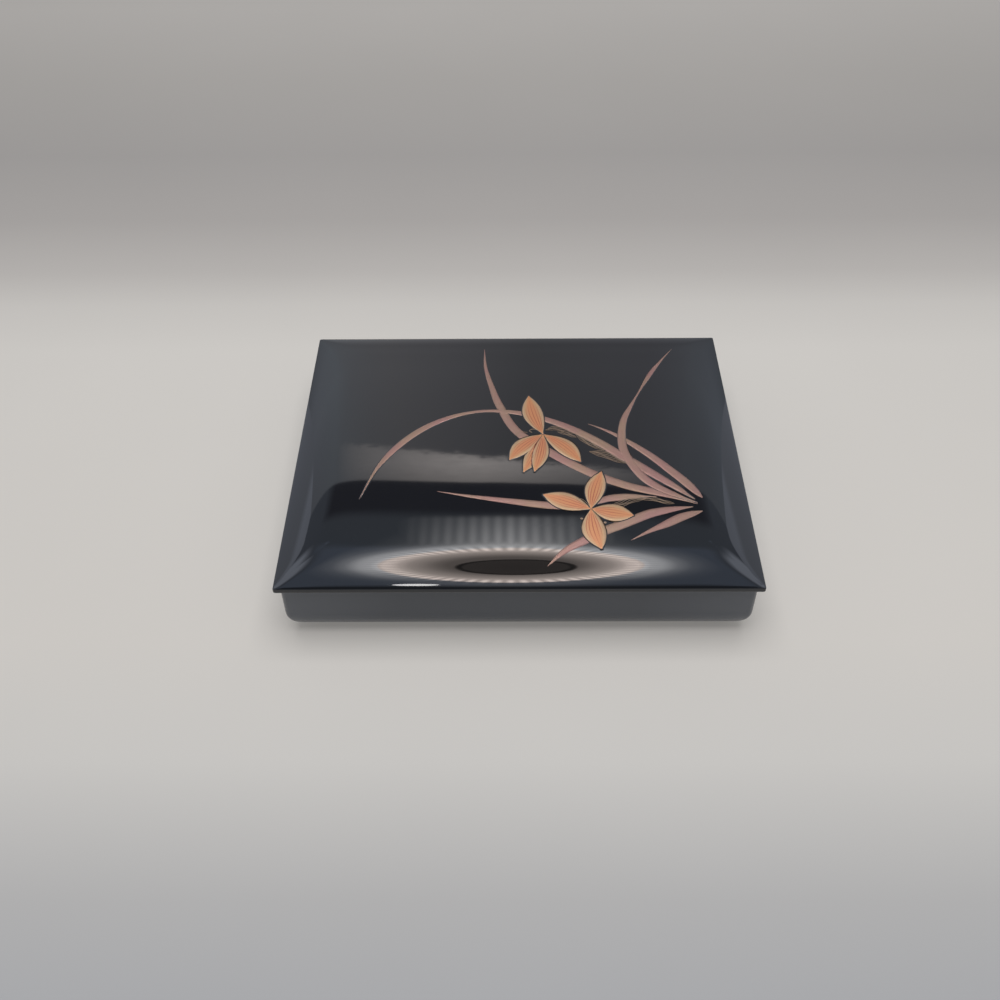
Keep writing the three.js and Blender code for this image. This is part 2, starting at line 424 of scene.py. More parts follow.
@dataclass(frozen=True)
class PetalFinish(PowderFinish):
    """Orange powder in the middle of a petal, paling to gold towards its edge, with a painted highlight: a
    pale line just inside the edge.

    The stops are places off the petal's middle line, as shares of its width.
    """

    name: str = "petal_powder"
    roughness: float = 0.4
    metalness: float = 0.12
    grain_shade: float = 0.8
    middle: Colour = (0.63, 0.228, 0.105)
    warm: Colour = (0.57, 0.28, 0.115)
    edge: Colour = (0.53, 0.335, 0.18)
    pale: Colour = (0.6, 0.4, 0.25)
    blush_scale: float = 90.0
    edge_stops: Tints = ((0.16, BLACK), (0.37, WHITE))
    highlight_stops: Tints = ((0.41, BLACK), (0.44, WHITE), (0.47, WHITE), (0.485, BLACK))

    def build(self) -> Material:
        """Makes the petal's material, which reads the petal's own UV map.

        Returns:
            The material.
        """
        material, nodes, shader = new_material(self.name)
        coordinates = nodes.add("TexCoord")
        place = coordinates.outputs["Object"]
        across = nodes.axis(coordinates.outputs["UV"], "Y")
        off_middle = nodes.math("ABSOLUTE", nodes.math("SUBTRACT", across, 0.5))
        heart = nodes.mix(nodes.noise(place, self.blush_scale, 2.0), self.middle, self.warm)
        paled = nodes.mix(nodes.ramp(off_middle, self.edge_stops), heart, self.edge)
        # The pale line near the petal's edge is a painted highlight.
        highlighted = nodes.mix(nodes.ramp(off_middle, self.highlight_stops), paled, self.pale)
        self.lay(nodes, shader, place, highlighted)
        return material


@dataclass(frozen=True)
class LineFinish:
    """Fine drawn lines of coloured lacquer."""

    name: str
    first: Colour
    second: Colour
    roughness: float = 0.45
    drift_scale: float = 160.0

    def build(self) -> Material:
        """Makes the line's material.

        Returns:
            The material.
        """
        material, nodes, shader = new_material(self.name)
        drift = nodes.noise(nodes.place(), self.drift_scale, 2.0)
        nodes.feed(shader.inputs["Base Color"], nodes.mix(drift, self.first, self.second))
        shader.inputs["Roughness"].default_value = self.roughness
        return material


class Piece:
    """One finished mesh of the object."""

    def __init__(self, name: str, body: Body, slot: Slot, material: Material) -> None:
        """Starts the piece with an empty mesh.

        Args:
            name: The piece's name.
            body: The body that it rides on.
            slot: The record's slot for the piece; it is stored but not used.
            material: Its material.
        """
        self.name = name
        self.body = body
        self.slot = slot
        self.material = material
        self.mesh = bmesh.new()

    def finish(self, replaces: Iterable[str] = ()) -> Object:
        """Turns the mesh into an object of the scene that rides on its body.

        Args:
            replaces: The frame's nodes that the piece stands for.

        Returns:
            The new object.
        """
        bmesh.ops.recalc_face_normals(self.mesh, faces=self.mesh.faces)
        data = bpy.data.meshes.new(self.name)
        self.mesh.to_mesh(data)
        self.mesh.free()
        data.shade_smooth()
        data.materials.append(self.material)
        piece = bpy.data.objects.new(self.name, data)
        bpy.context.scene.collection.objects.link(piece)
        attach(piece, self.body.value)
        nodes = list(replaces)
        if nodes:
            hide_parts(*nodes)
        log.info("%s: %d faces, stands for %d nodes", self.name, len(data.polygons), len(nodes))
        return piece


def nodes_named(start: str) -> list[str]:
    """The frame's nodes whose names begin with the given words, in order."""
    return sorted(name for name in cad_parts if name.startswith(start))


@dataclass(frozen=True)
class Level:
    """One ring of a block: its inset from the outline and its height, in millimetres."""

    inset: float
    height: float
    crowned: bool = False


def arc(centre: Plan, radius: float, start: float, end: float, steps: int,
        crowned: bool = False) -> list[Level]:
    """Levels along an arc.

    Args:
        centre: The arc's centre as inset and height.
        radius: The arc's radius.
        start: The first angle, in degrees.
        end: The last angle, in degrees.
        steps: How many levels follow the first.
        crowned: Whether the levels rise with the lid's crown.

    Returns:
        The levels, both ends included.
    """
    levels = []
    for step in range(steps + 1):
        angle = math.radians(start + (end - start) * step / steps)
        inset = centre[0] + radius * math.cos(angle)
        levels.append(Level(inset, centre[1] + radius * math.sin(angle), crowned))
    return levels


class RingedBlock:
    """A block grown ring by ring from a flat grid: every ring is a rectangle at some inset and height."""

    def __init__(self, mesh: BMesh, length: float, width: float,
                 crown: Callable[[float, float], float]) -> None:
        """Sets up the block.

        Args:
            mesh: The mesh to fill.
            length: The outline's length along X, in millimetres.
            width: The outline's width along Y, in millimetres.
            crown: How far the crown rises at a place, in millimetres.
        """
        self.mesh = mesh
        self.length = length
        self.width = width
        self.crown = crown
        self.inset = 0.0

    def start(self, level: Level, along: int, across: int, crowding: float = 0.0) -> list[BMEdge]:
        """Makes the grid that fills the first ring.

        Args:
            level: The ring's level.
            along: How many faces the grid has along X.
            across: How many faces the grid has along Y.
            crowding: How much finer the faces grow towards the corners, from 0 to 0.4.

        Returns:
            The edges of the ring.
        """
        bmesh.ops.create_grid(self.mesh, x_segments=along, y_segments=across, size=1.0)
        for vert in self.mesh.verts:
            for axis in (0, 1):
                vert.co[axis] = vert.co[axis] * (1 + crowding) - vert.co[axis] ** 3 * crowding
        size = Vector(((self.length / 2 - level.inset) * MM, (self.width / 2 - level.inset) * MM, 1.0))
        bmesh.ops.scale(self.mesh, vec=size, verts=self.mesh.verts)
        self.lift(self.mesh.verts, level)
        self.inset = level.inset
        return [edge for edge in self.mesh.edges if edge.is_boundary]

    def lift(self, verts: Iterable[BMVert], level: Level) -> None:
        """Puts points at a level's height.

        Args:
            verts: The points to move.
            level: The level that they belong to.
        """
        for vert in verts:
            rise = self.crown(vert.co.x / MM, vert.co.y / MM) if level.crowned else 0.0
            vert.co.z = (level.height + rise) * MM

    def grow(self, ring: list[BMEdge], levels: Iterable[Level]) -> list[BMEdge]:
        """Extrudes a ring through further levels.

        Args:
            ring: The edges to start from.
            levels: The levels to reach, in order.

        Returns:
            The edges of the last ring.
        """
        for level in levels:
            grown = bmesh.ops.extrude_edge_only(self.mesh, edges=ring)["geom"]
            verts = [item for item in grown if isinstance(item, BMVert)]
            before = Vector((self.length - 2 * self.inset, self.width - 2 * self.inset))
            after = Vector((self.length - 2 * level.inset, self.width - 2 * level.inset))
            size = Vector((after.x / before.x, after.y / before.y, 1.0))
            bmesh.ops.scale(self.mesh, vec=size, verts=verts)
            self.lift(verts, level)
            ring = [item for item in grown if isinstance(item, BMEdge)]
            self.inset = level.inset
        return ring

    def corner_edges(self, low: float, high: float) -> list[BMEdge]:
        """The edges that run from ring to ring at the four corners.

        Args:
            low: The least inset of both ends, in millimetres.
            high: The greatest inset of both ends, in millimetres.

        Returns:
            The corner edges between those insets.
        """
        found = []
        slack = 0.01
        for edge in self.mesh.edges:
            insets = []
            for vert in edge.verts:
                along = self.length / 2 - abs(vert.co.x) / MM
                across = self.width / 2 - abs(vert.co.y) / MM
                insets.append((along, across))
            on_corner = all(abs(along - across) < slack for along, across in insets)
            in_range = all(low - slack <= along <= high + slack for along, _ in insets)
            same_side = all(a * b > 0 for a, b in zip(edge.verts[0].co.xy, edge.verts[1].co.xy))
            if on_corner and in_range and same_side:
                found.append(edge)
        return found


def round_edges(mesh: BMesh, edges: list[BMEdge], radius: float, steps: int) -> None:
    """Rounds edges of a mesh.

    Args:
        mesh: The mesh.
        edges: The edges to round.
        radius: How wide the rounding is on each side, in millimetres.
        steps: How many faces the rounding has.
    """
    bmesh.ops.bevel(mesh, geom=edges, offset=radius * MM, offset_type="OFFSET", segments=steps, profile=0.5,
                    affect="EDGES", material=-1, clamp_overlap=True)


@dataclass(frozen=True)
class LidForm:
    """The lid's outer form, in millimetres. The first four sizes are read from the frame."""

    length: float
    width: float
    seat: float
    rail_width: float
    rim: float = 3.4
    rim_lower_arris: float = 0.8
    rim_upper_arris: float = 0.5
    roll_width: float = 25.0
    roll_angle: float = 22.0
    roll_fade: float = 2.5
    crown_rise: float = 3.2
    crown_end_length: float = 45.0
    crown_end_fade: float = 3.0
    panel_recess: float = 3.0
    corner_softness: float = 1.6
    hip_softness: float = 1.9
    hip_growth: float = 0.75

    @classmethod
    def from_frame(cls) -> "LidForm":
        """Reads the rails' places from the frame, once.

        Returns:
            The form.
        """
        left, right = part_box("lid_rail_left"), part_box("lid_rail_right")
        front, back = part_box("lid_rail_front"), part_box("lid_rail_back")
        return cls(
            length=(right[1][0] - left[0][0]) / MM,
            width=(back[1][1] - front[0][1]) / MM,
            seat=front[0][2] / MM,
            rail_width=(front[1][1] - front[0][1]) / MM,
        )

    @property
    def roll_start(self) -> float:
        """The inset at which the roll starts."""
        return self.rim_upper_arris * (1 - math.sin(math.radians(self.roll_angle)))

    def roll(self, inset: float) -> float:
        """How far the roll has risen above the rim at an inset from the edge.

        Args:
            inset: The distance from the lid's edge.

        Returns:
            The rise.
        """
        reach = self.roll_width - self.roll_start
        share = min(max((inset - self.roll_start) / reach, 0.0), 1.0)
        rise = reach * math.tan(math.radians(self.roll_angle)) / self.roll_fade
        return rise * (1 - (1 - share) ** self.roll_fade)

    def crown(self, x: float, y: float) -> float:
        """How far the crown rises at a place: an even arc across, straight along, closing at both ends.

        Args:
            x: The place along the length.
            y: The place along the width.

        Returns:
            The rise.
        """
        end_share = max(0.0, 1 - (self.length / 2 - abs(x)) / self.crown_end_length)
        across = 1 - (2 * y / self.width) ** 2
        return self.crown_rise * (1 - end_share**self.crown_end_fade) * across

    def soft_inset(self, x: float, y: float) -> float:
        """The distance from the nearer edge, eased across the hips so that they fade into the crown.

        Args:
            x: The place along the length.
            y: The place along the width.

        Returns:
            The inset.
        """
        along = self.length / 2 - abs(x)
        across = self.width / 2 - abs(y)
        nearer = min(along, across)
        reach = self.hip_softness + self.hip_growth * max(nearer, 0.0)
        blend = max(reach - abs(along - across), 0.0) / reach
        return nearer - blend**2 * reach / 4

    def top(self, x: float, y: float) -> float:
        """The height of the lid's upper surface at a place.

        Args:
            x: The place along the length.
            y: The place along the width.

        Returns:
            The height.
        """
        return self.seat + self.rim + self.roll(self.soft_inset(x, y)) + self.crown(x, y)


@dataclass
class Lid:
    """The lid: one lacquered skin over rails, panel and keys, and the strips under it.

    Sizes are in millimetres. Steps count the faces of a rounding.
    """

    form: LidForm
    lacquer: Material
    roll_steps: int = 30
    arris_steps: int = 5
    corner_steps: int = 4
    along: int = 80
    across: int = 66
    crowding: float = 0.3
    rim_margin: float = 0.15
    holding: float = 0.4
    recess_radius: float = 1.0
    strip_radius: float = 1.2

    def skin(self) -> Object:
        """Builds the crowned top, the rim and the recessed underside as one closed mesh.

        Returns:
            The lid's skin.
        """
        form = self.form
        piece = Piece("lid_skin", Body.LID, Slot.LID, self.lacquer)
        block = RingedBlock(piece.mesh, form.length, form.width, form.crown)
        ring = block.start(self.roll_level(1.0), self.along, self.across, self.crowding)
        roll = [self.roll_level(1 - step / self.roll_steps) for step in range(1, self.roll_steps + 1)]
        upper = form.seat + form.rim - form.rim_upper_arris * math.cos(math.radians(form.roll_angle))
        lower = form.seat + form.rim_lower_arris
        rim_top = arc((form.rim_upper_arris, upper), form.rim_upper_arris, 90 + form.roll_angle, 180,
                      self.arris_steps, crowned=True)
        rim_foot = arc((form.rim_lower_arris, lower), form.rim_lower_arris, 180, 270, self.arris_steps)
        ring = block.grow(ring, roll + rim_top[1:] + rim_foot)
        ring = block.grow(ring, self.underside())
        bmesh.ops.holes_fill(piece.mesh, edges=ring, sides=0)
        outer = block.corner_edges(0.0, form.roll_width)
        round_edges(piece.mesh, outer, form.corner_softness, self.corner_steps)
        for vert in piece.mesh.verts:
            x, y, height = vert.co / MM
            if height > form.seat + form.rim + self.rim_margin:
                vert.co.z = form.top(x, y) * MM
        stands_for = nodes_named("lid_rail_") + nodes_named("lid_key_") + ["lid_panel"]
        return piece.finish(stands_for)

    def roll_level(self, share: float) -> Level:
        """A ring of the roll.

        Args:
            share: How far in from the rim, 0 at the rim and 1 where the roll ends.

        Returns:
            The ring's level.
        """
        form = self.form
        inset = form.roll_start + (form.roll_width - form.roll_start) * share
        return Level(inset, form.seat + form.rim + form.roll(inset), crowned=True)

    def underside(self) -> list[Level]:
        """The levels of the underside: the flat ring that meets the walls, then the recess.

        Returns:
            The levels from the rim inwards.
        """
        form = self.form
        flat = form.seat
        edge = form.rail_width
        ceiling = form.seat + form.panel_recess
        radius = self.recess_radius
        return [
            Level(form.rim_lower_arris + self.holding, flat),
            Level(edge - radius - self.holding, flat),
            *arc((edge - radius, flat + radius), radius, 270, 360, self.arris_steps),
            *arc((edge + radius, ceiling - radius), radius, 180, 90, self.arris_steps),
            Level(edge + radius + self.holding, ceiling),
        ]

    def strips(self) -> list[Object]:
        """Builds the four strips that drop inside the walls.

        Returns:
            The strips.
        """
        made = []
        for name in nodes_named("lid_strip_"):
            low, high = (Vector(corner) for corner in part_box(name))
            piece = Piece(name + "_skin", Body.LID, Slot.LID, self.lacquer)
            bmesh.ops.create_cube(piece.mesh, size=1.0)
            bmesh.ops.scale(piece.mesh, vec=high - low, verts=piece.mesh.verts)
            bmesh.ops.translate(piece.mesh, vec=(low + high) / 2, verts=piece.mesh.verts)
            middle = (low.z + high.z) / 2
            lower = [edge for edge in piece.mesh.edges if all(vert.co.z < middle for vert in edge.verts)]
            round_edges(piece.mesh, lower, self.strip_radius, self.arris_steps)
            made.append(piece.finish([name]))
        return made


@dataclass
class BoxBody:
    """The body: one lacquered skin over walls, floor and keys, inside and out.

    Sizes are in millimetres. Steps count the faces of a rounding.
    """

    lacquer: Material
    bottom_radius: float = 16.5
    corner_radius: float = 3.0
    top_arris: float = 0.6
    cove_radius: float = 2.0
    holding: float = 0.5
    flat_margin: float = 5.0
    bottom_steps: int = 24
    arris_steps: int = 5
    corner_steps: int = 6
    along: int = 24
    across: int = 20

    def skin(self) -> Object:
        """Builds the underside, the walls inside and out and the floor as one closed mesh.

        Returns:
            The body's skin.
        """
        left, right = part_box("wall_left"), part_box("wall_right")
        front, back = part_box("wall_front"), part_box("wall_back")
        length = (right[1][0] - left[0][0]) / MM
        width = (back[1][1] - front[0][1]) / MM
        wall = (front[1][1] - front[0][1]) / MM
        top = front[1][2] / MM
        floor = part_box("floor_board")[1][2] / MM

        piece = Piece("body_skin", Body.BOX, Slot.BODY, self.lacquer)
        block = RingedBlock(piece.mesh, length, width, lambda x, y: 0.0)
        radius, arris, cove = self.bottom_radius, self.top_arris, self.cove_radius
        round_under = arc((radius, radius), radius, 270, 180, self.bottom_steps)
        ring = block.start(Level(radius + self.flat_margin, 0.0), self.along, self.across)
        levels = [
            *round_under,
            Level(0.0, radius + self.holding),
            Level(0.0, top - arris - self.holding),
            *arc((arris, top - arris), arris, 180, 90, self.arris_steps),
            Level(arris + self.holding, top),
            Level(wall - arris - self.holding, top),
            *arc((wall - arris, top - arris), arris, 90, 0, self.arris_steps),
            Level(wall, top - arris - self.holding),
            Level(wall, floor + cove + self.holding),
            *arc((wall + cove, floor + cove), cove, 180, 270, self.arris_steps),
            Level(wall + cove + self.holding, floor),
        ]
        ring = block.grow(ring, levels)
        bmesh.ops.holes_fill(piece.mesh, edges=ring, sides=0)
        outer = [edge for edge in block.corner_edges(0.0, radius)
                 if self.is_outside(edge, length, wall, floor - self.holding)]
        round_edges(piece.mesh, outer, self.corner_radius, self.corner_steps)
        stands_for = nodes_named("wall_") + ["floor_board"]
        return piece.finish(stands_for)

    @staticmethod
    def is_outside(edge: BMEdge, length: float, wall: float, below: float) -> bool:
        """Whether a corner edge lies on the outside of the body.

        Args:
            edge: The corner edge.
            length: The body's length, in millimetres.
            wall: The wall's thickness, in millimetres.
            below: A height under the floor inside, in millimetres.

        Returns:
            True for the rounding under, the upright corner and the top edge's outer arris.
        """
        inset = max(length / 2 - abs(vert.co.x) / MM for vert in edge.verts)
        height = min(vert.co.z / MM for vert in edge.verts)
        return inset < wall / 2 or height < below


@dataclass(frozen=True)
class Blade:
    """One leaf blade: its middle line from tip to root, and its width at shares of its length."""

    name: str
    points: tuple[Plan, ...]
    widths: Amounts
    layer: int = 0
    outlined: bool = False


@dataclass(frozen=True)
class Sheath:
    """A sheath drawn in gold lines: its middle line, how wide it swells and how many lines it has."""

    points: tuple[Plan, ...]
    swell: float
    lines: int


@dataclass(frozen=True)
class Petal:
    """One petal: where it starts and ends, its width and how far it bows to its left."""

    base: Plan
    tip: Plan
    width: float
    bow: float = 0.0
    layer: int = 3


BLADES = (
    Blade("blade_arch",
          ((-82, -44.5), (-74.5, -22), (-64.8, -5.4), (-52.5, 8.2), (-39.5, 17.2), (-26.5, 22.3), (-13, 23.8),
           (3, 21.4), (18, 15.3), (31, 7.6), (44, -2.5), (55, -12.6), (66, -22.3), (82, -36.4), (91, -45)),
          ((0, 0.2), (0.12, 3.4), (0.2, 3.9), (0.3, 2.9), (0.4, 2.3), (0.49, 3.3), (0.6, 4.3), (0.72, 5.2),
           (0.88, 5.0), (1, 0.8)),
          layer=1, outlined=True),
    Blade("blade_upright",
          ((-19, 82), (-18, 63), (-14, 43.5), (-9.5, 27.5), (0, 6.2), (19, -11.6), (38.5, -26), (56, -35),
           (68, -39), (79, -42.5), (92, -48)),
          ((0, 0.2), (0.12, 2.2), (0.3, 4.5), (0.5, 5.3), (0.7, 5.1), (0.88, 4.1), (1, 0.8))),
    Blade("blade_twisted",
          ((92.5, 81.5), (84.5, 69), (77.5, 57), (69.4, 40), (63.9, 28), (59, 16), (56.8, 3.5), (57, -9),
           (61, -20.5), (67, -31), (77, -39.5), (92, -47.5)),
          ((0, 0.2), (0.12, 2.2), (0.2, 2.7), (0.28, 1.4), (0.36, 2.3), (0.46, 3.6), (0.58, 4.5), (0.75, 4.8),
           (0.9, 4.0), (1, 0.7)),
          layer=2, outlined=True),
    Blade("blade_short",
          ((39, 12.5), (45.5, 9), (53.5, 3.5), (62, -4), (71, -13), (80.5, -24.2), (87.6, -33), (95, -43.8)),
          ((0, 0.2), (0.15, 1.2), (0.35, 2.8), (0.6, 4.4), (0.85, 5.0), (0.95, 3.6), (1, 0.8))),
    Blade("blade_low",
          ((-42, -39), (-25, -42.5), (-4.5, -46), (13.5, -48.8), (30, -50.4)),
          ((0, 0.2), (0.2, 1.5), (0.45, 3.4), (0.7, 4.7), (1, 4.4))),
    Blade("blade_middle",
          ((38, -49), (45, -45), (52, -43.7), (59.5, -43), (71.5, -43.3)),
          ((0, 0.8), (0.2, 3.6), (0.45, 4.6), (0.75, 3.2), (1, 0.3)), layer=1, outlined=True),
    Blade("blade_front",
          ((14, -88), (23, -79), (33, -72.5), (44, -66), (51, -62.7), (64.5, -56), (71, -53.7), (80, -51.7),
           (89.5, -50.2)),
          ((0, 0.2), (0.12, 3.2), (0.25, 5.0), (0.45, 5.5), (0.6, 5.6), (0.8, 4.5), (1, 0.5))),
    Blade("blade_least",
          ((56, -72.5), (66, -66.5), (74.5, -62), (83.5, -57), (94, -53)),
          ((0, 0.2), (0.3, 2.6), (0.6, 4.9), (0.85, 4.0), (1, 0.6))),
)

UPPER_FLOWER = (
    Petal((14, 4), (3.0, -25.4), 8.5, 0.8, layer=3),
    Petal((14, 4), (6.6, 36.6), 10.8, 1.4, layer=4),
    Petal((14, 4), (-4.4, -16.0), 9.8, -1.7, layer=4),
    Petal((14, 4), (33.7, -17.8), 10.2, 1.8, layer=4),
    Petal((14, 4), (8.8, -25.0), 8.0, 1.1, layer=5),
)

LOWER_FLOWER = (
    Petal((37.2, -51.7), (44.1, -25.1), 9.8, 0.8, layer=4),
    Petal((37.2, -51.7), (12.9, -41.6), 11.2, 0.0, layer=4),
    Petal((37.2, -51.7), (58.7, -56.2), 11.0, -0.3, layer=4),
    Petal((37.2, -51.7), (41.2, -78.2), 11.5, -1.5, layer=5),
)

STAMENS = ((43.9, -60.9), (32.1, -58.3))

CURLS = (
    ((14, 4.5), (11.5, 7), (8.6, 8.2), (6.6, 7), (8, 5.4)),
    ((5.6, 5.6), (2.4, 6), (-0.2, 4.8), (-0.6, 3), (1, 3)),
    ((36.5, -50), (34.6, -46.6), (32.4, -44.6), (30.4, -45.6), (31.6, -47.4)),
    ((36, -51), (33.4, -48.6), (31, -48.2), (29.6, -49.6)),
)

SHEATHS = (
    Sheath(((15.5, 7.4), (20, 9.0), (26, 7.4), (32, 4.2)), 1.5, 4),
    Sheath(((22, 5.9), (25.5, 4.9), (29, 3.2), (32, 1.4)), 0.9, 3),
    Sheath(((31.8, 4.4), (35.9, -0.4), (41.1, -5.0), (46.5, -8.6)), 1.5, 5),
    Sheath(((38.5, -9.8), (45, -11.5), (51.5, -14.8), (58, -19)), 2.4, 6),
    Sheath(((46, -49.5), (53, -48.2), (58.5, -45.5), (66, -44.6)), 1.9, 5),
    Sheath(((62, -45), (68.5, -44.8), (75, -46.8), (80, -48.2)), 1.2, 4),
)


def along_curve(points: Sequence[Plan], share: float) -> tuple[Vector, Vector]:
    """A smooth curve through points, a Catmull-Rom spline.

    Args:
        points: The points that the curve passes through.
        share: How far along the curve, from 0 to 1.

    Returns:
        The place and the unit direction there.
    """
    last = len(points) - 1
    at = min(int(share * last), last - 1)
    step = share * last - at
    chain = [Vector(points[min(max(index, 0), last)]) for index in range(at - 1, at + 3)]
    if at == 0:
        chain[0] = 2 * chain[1] - chain[2]
    if at == last - 1:
        chain[3] = 2 * chain[2] - chain[1]
    first, second, third, fourth = chain
    bend = 2 * first - 5 * second + 4 * third - fourth
    twist = 3 * second - first - 3 * third + fourth
    place = (2 * second + (third - first) * step + bend * step**2 + twist * step**3) / 2
    slope = ((third - first) + 2 * bend * step + 3 * twist * step**2) / 2
    return place, slope.normalized()


def width_at(widths: Sequence[tuple[float, float]], share: float) -> float:
    """A width on a smooth curve through given ones.

    Args:
        widths: Shares and widths, in order.
        share: How far along, from 0 to 1.

    Returns:
        The width there.
    """
    last = len(widths) - 1
    at = next((index for index in range(last) if share <= widths[index + 1][0]), last - 1)

    def slope(index: int) -> float:
        """How fast the width grows at one of the given places."""
        (start, first), (end, second) = widths[max(index - 1, 0)], widths[min(index + 1, last)]
        return (second - first) / (end - start)

    (before, first), (after, second) = widths[at], widths[at + 1]
    gap = after - before
    step = min(max((share - before) / gap, 0.0), 1.0)
    keep = 1 - 3 * step**2 + 2 * step**3
    lead = slope(at) * gap * (step - 2 * step**2 + step**3)
    trail = slope(at + 1) * gap * (step**3 - step**2)
    return max(first * keep + second * (1 - keep) + lead + trail, LEAST_WIDTH_MM)


@dataclass
class OrchidSpray:
    """The ornament on the lid: eight blades, two flowers, their veins, stamens and sheaths.

    Widths and heights are in millimetres. Steps count the faces of a ribbon.
    """

    form: LidForm
    ground: Material
    blade_powder: Material
    petal_powder: Material
    vein: Material
    gold: Material
    ground_lift: float = 0.03
    layer_lift: float = 0.035
    thickness: float = 0.06
    dome_power: int = 4
    sink: float = 0.15
    outline: float = 0.55
    line_layer: int = 3
    line_width: float = 0.3
    line_end_share: float = 0.35
    curl_shares: Span = (0.6, 1.3)
    strand_fullness: float = 0.8
    waver: float = 0.22
    waver_along: float = 11.0
    waver_across: float = 4.0
    vein_width: float = 0.42
    vein_sides: tuple[float, ...] = (-0.6, -0.33, 0.0, 0.33, 0.6)
    vein_start: float = 0.1
    vein_reach: float = 0.78
    vein_crowding: float = 0.7
    vein_lift_share: float = 0.8
    side_vein_loss: float = 0.3
    side_vein_thinning: float = 0.5
    petal_fullness: float = 1.1
    petal_roundness: float = 0.9
    petal_neck: float = 0.2
    stamen_radius: float = 0.75
    stamen_flatness: float = 0.25
    blade_steps: int = 72
    petal_steps: int = 28
    petal_across: int = 8
    vein_steps: int = 20
    strand_steps: int = 36
    curl_steps: int = 28
    line_across: int = 2

    def height(self, place: Vector, lift: float) -> Vector:
        """A point over the lid's top.

        Args:
            place: Where on the lid, in millimetres.
            lift: How far above the surface, in millimetres.

        Returns:
            The point, in metres.
        """
        return Vector((place.x, place.y, self.form.top(place.x, place.y) + lift)) * MM

    def lay(self, mesh: BMesh, route: Route, lift: float, steps: int, across: int = 4) -> None:
        """Lays one closed, slightly domed ribbon on the lid.

        Args:
            mesh: The mesh that takes the ribbon.
            route: The middle, the direction and the width at a share of the ribbon's length.
            lift: How far the ribbon's edges stand above the surface, in millimetres.
            steps: How many faces it has along its length.
            across: How many faces it has across.
        """
        # The grid fills the mesh's UV map, which has to be there first. The petals' finish reads it.
        mesh.loops.layers.uv.verify()
        made = bmesh.ops.create_grid(mesh, x_segments=steps, y_segments=across, size=0.5, calc_uvs=True)
        verts = made["verts"]
        for vert in verts:
            share, side = vert.co.x + 0.5, 2 * vert.co.y
            middle, direction, width = route(share)
            sideways = Vector((-direction.y, direction.x))
            dome = self.thickness * (1 - side**self.dome_power)
            vert.co = self.height(middle + sideways * (side * width / 2), lift + dome)
        grown = bmesh.ops.extrude_edge_only(mesh, edges=self.rim_of(verts))["geom"]
        foot = [item for item in grown if isinstance(item, BMVert)]
        bmesh.ops.translate(mesh, vec=(0, 0, -(lift + self.sink) * MM), verts=foot)
        ring = [item for item in grown if isinstance(item, BMEdge)]
        bmesh.ops.holes_fill(mesh, edges=ring, sides=0)

    @staticmethod
    def rim_of(verts: Iterable[BMVert]) -> list[BMEdge]:
        """The open edges round a patch of points, each once and in the same order every run."""
        return list(dict.fromkeys(edge for vert in verts for edge in vert.link_edges if edge.is_boundary))

    def blade_route(self, blade: Blade, extra: float = 0.0) -> Route:
        """The route of a blade's ribbon.

        Args:
            blade: The blade.
            extra: How much wider the ribbon is than the blade, in millimetres.

        Returns:
            A function from a share of the length to middle, direction and width.
        """
        def route(share: float) -> tuple[Vector, Vector, float]:
            """The middle, direction and width at a share of the length."""
            place, direction = along_curve(blade.points, share)
            return place, direction, width_at(blade.widths, share) + extra

        return route

    def petal_route(self, petal: Petal, extra: float = 0.0, side: float = 0.0, line: float = 0.0) -> Route:
        """The route of a petal's ribbon, or of a vein on it.

        Args:
            petal: The petal.
            extra: How much wider the ribbon is than the petal, in millimetres.
            side: For a vein, where it lies across the petal, from -1 to 1.
            line: For a vein, its width in millimetres.

        Returns:
            A function from a share of the length to middle, direction and width.
        """
        base, tip = Vector(petal.base), Vector(petal.tip)
        axis = (tip - base).normalized()
        left = Vector((-axis.y, axis.x))
        reach = (tip - base).length

        def half_width(share: float) -> float:
            """Half the petal's width at a share of its length."""
            swell = math.sin(math.pi * min(max(share, 0.0), 1.0) ** self.petal_fullness)
            return petal.width / 2 * swell**self.petal_roundness + self.petal_neck

        def route(share: float) -> tuple[Vector, Vector, float]:
            """The middle, direction and width at a share of the length."""
            vein_run = self.vein_start + (self.vein_reach - self.side_vein_loss * abs(side)) * share
            run = vein_run * reach if line else share * (reach + extra / 2)
            at = run / reach
            bow = petal.bow * math.sin(math.pi * min(at, 1.0))
            middle = base + axis * run + left * (bow + side * half_width(at))
            if line:
                width = line * (self.line_end_share + math.sin(math.pi * share**self.vein_crowding))
            else:
                width = 2 * half_width(at) + extra
            return middle, axis, width

        return route

    def blades(self) -> None:
        """Builds the blades, each its own piece, and the dark outlines where they cross."""
        edges = Piece("blade_outlines", Body.LID, Slot.LID, self.ground)
        for blade in BLADES:
            lift = self.ground_lift + self.layer_lift * blade.layer
            piece = Piece(blade.name, Body.LID, Slot.BLADE, self.blade_powder)
            self.lay(piece.mesh, self.blade_route(blade), lift, self.blade_steps)
            piece.finish()
            if blade.outlined:
                around = self.blade_route(blade, self.outline)
                self.lay(edges.mesh, around, lift - self.layer_lift / 2, self.blade_steps)
        edges.finish()

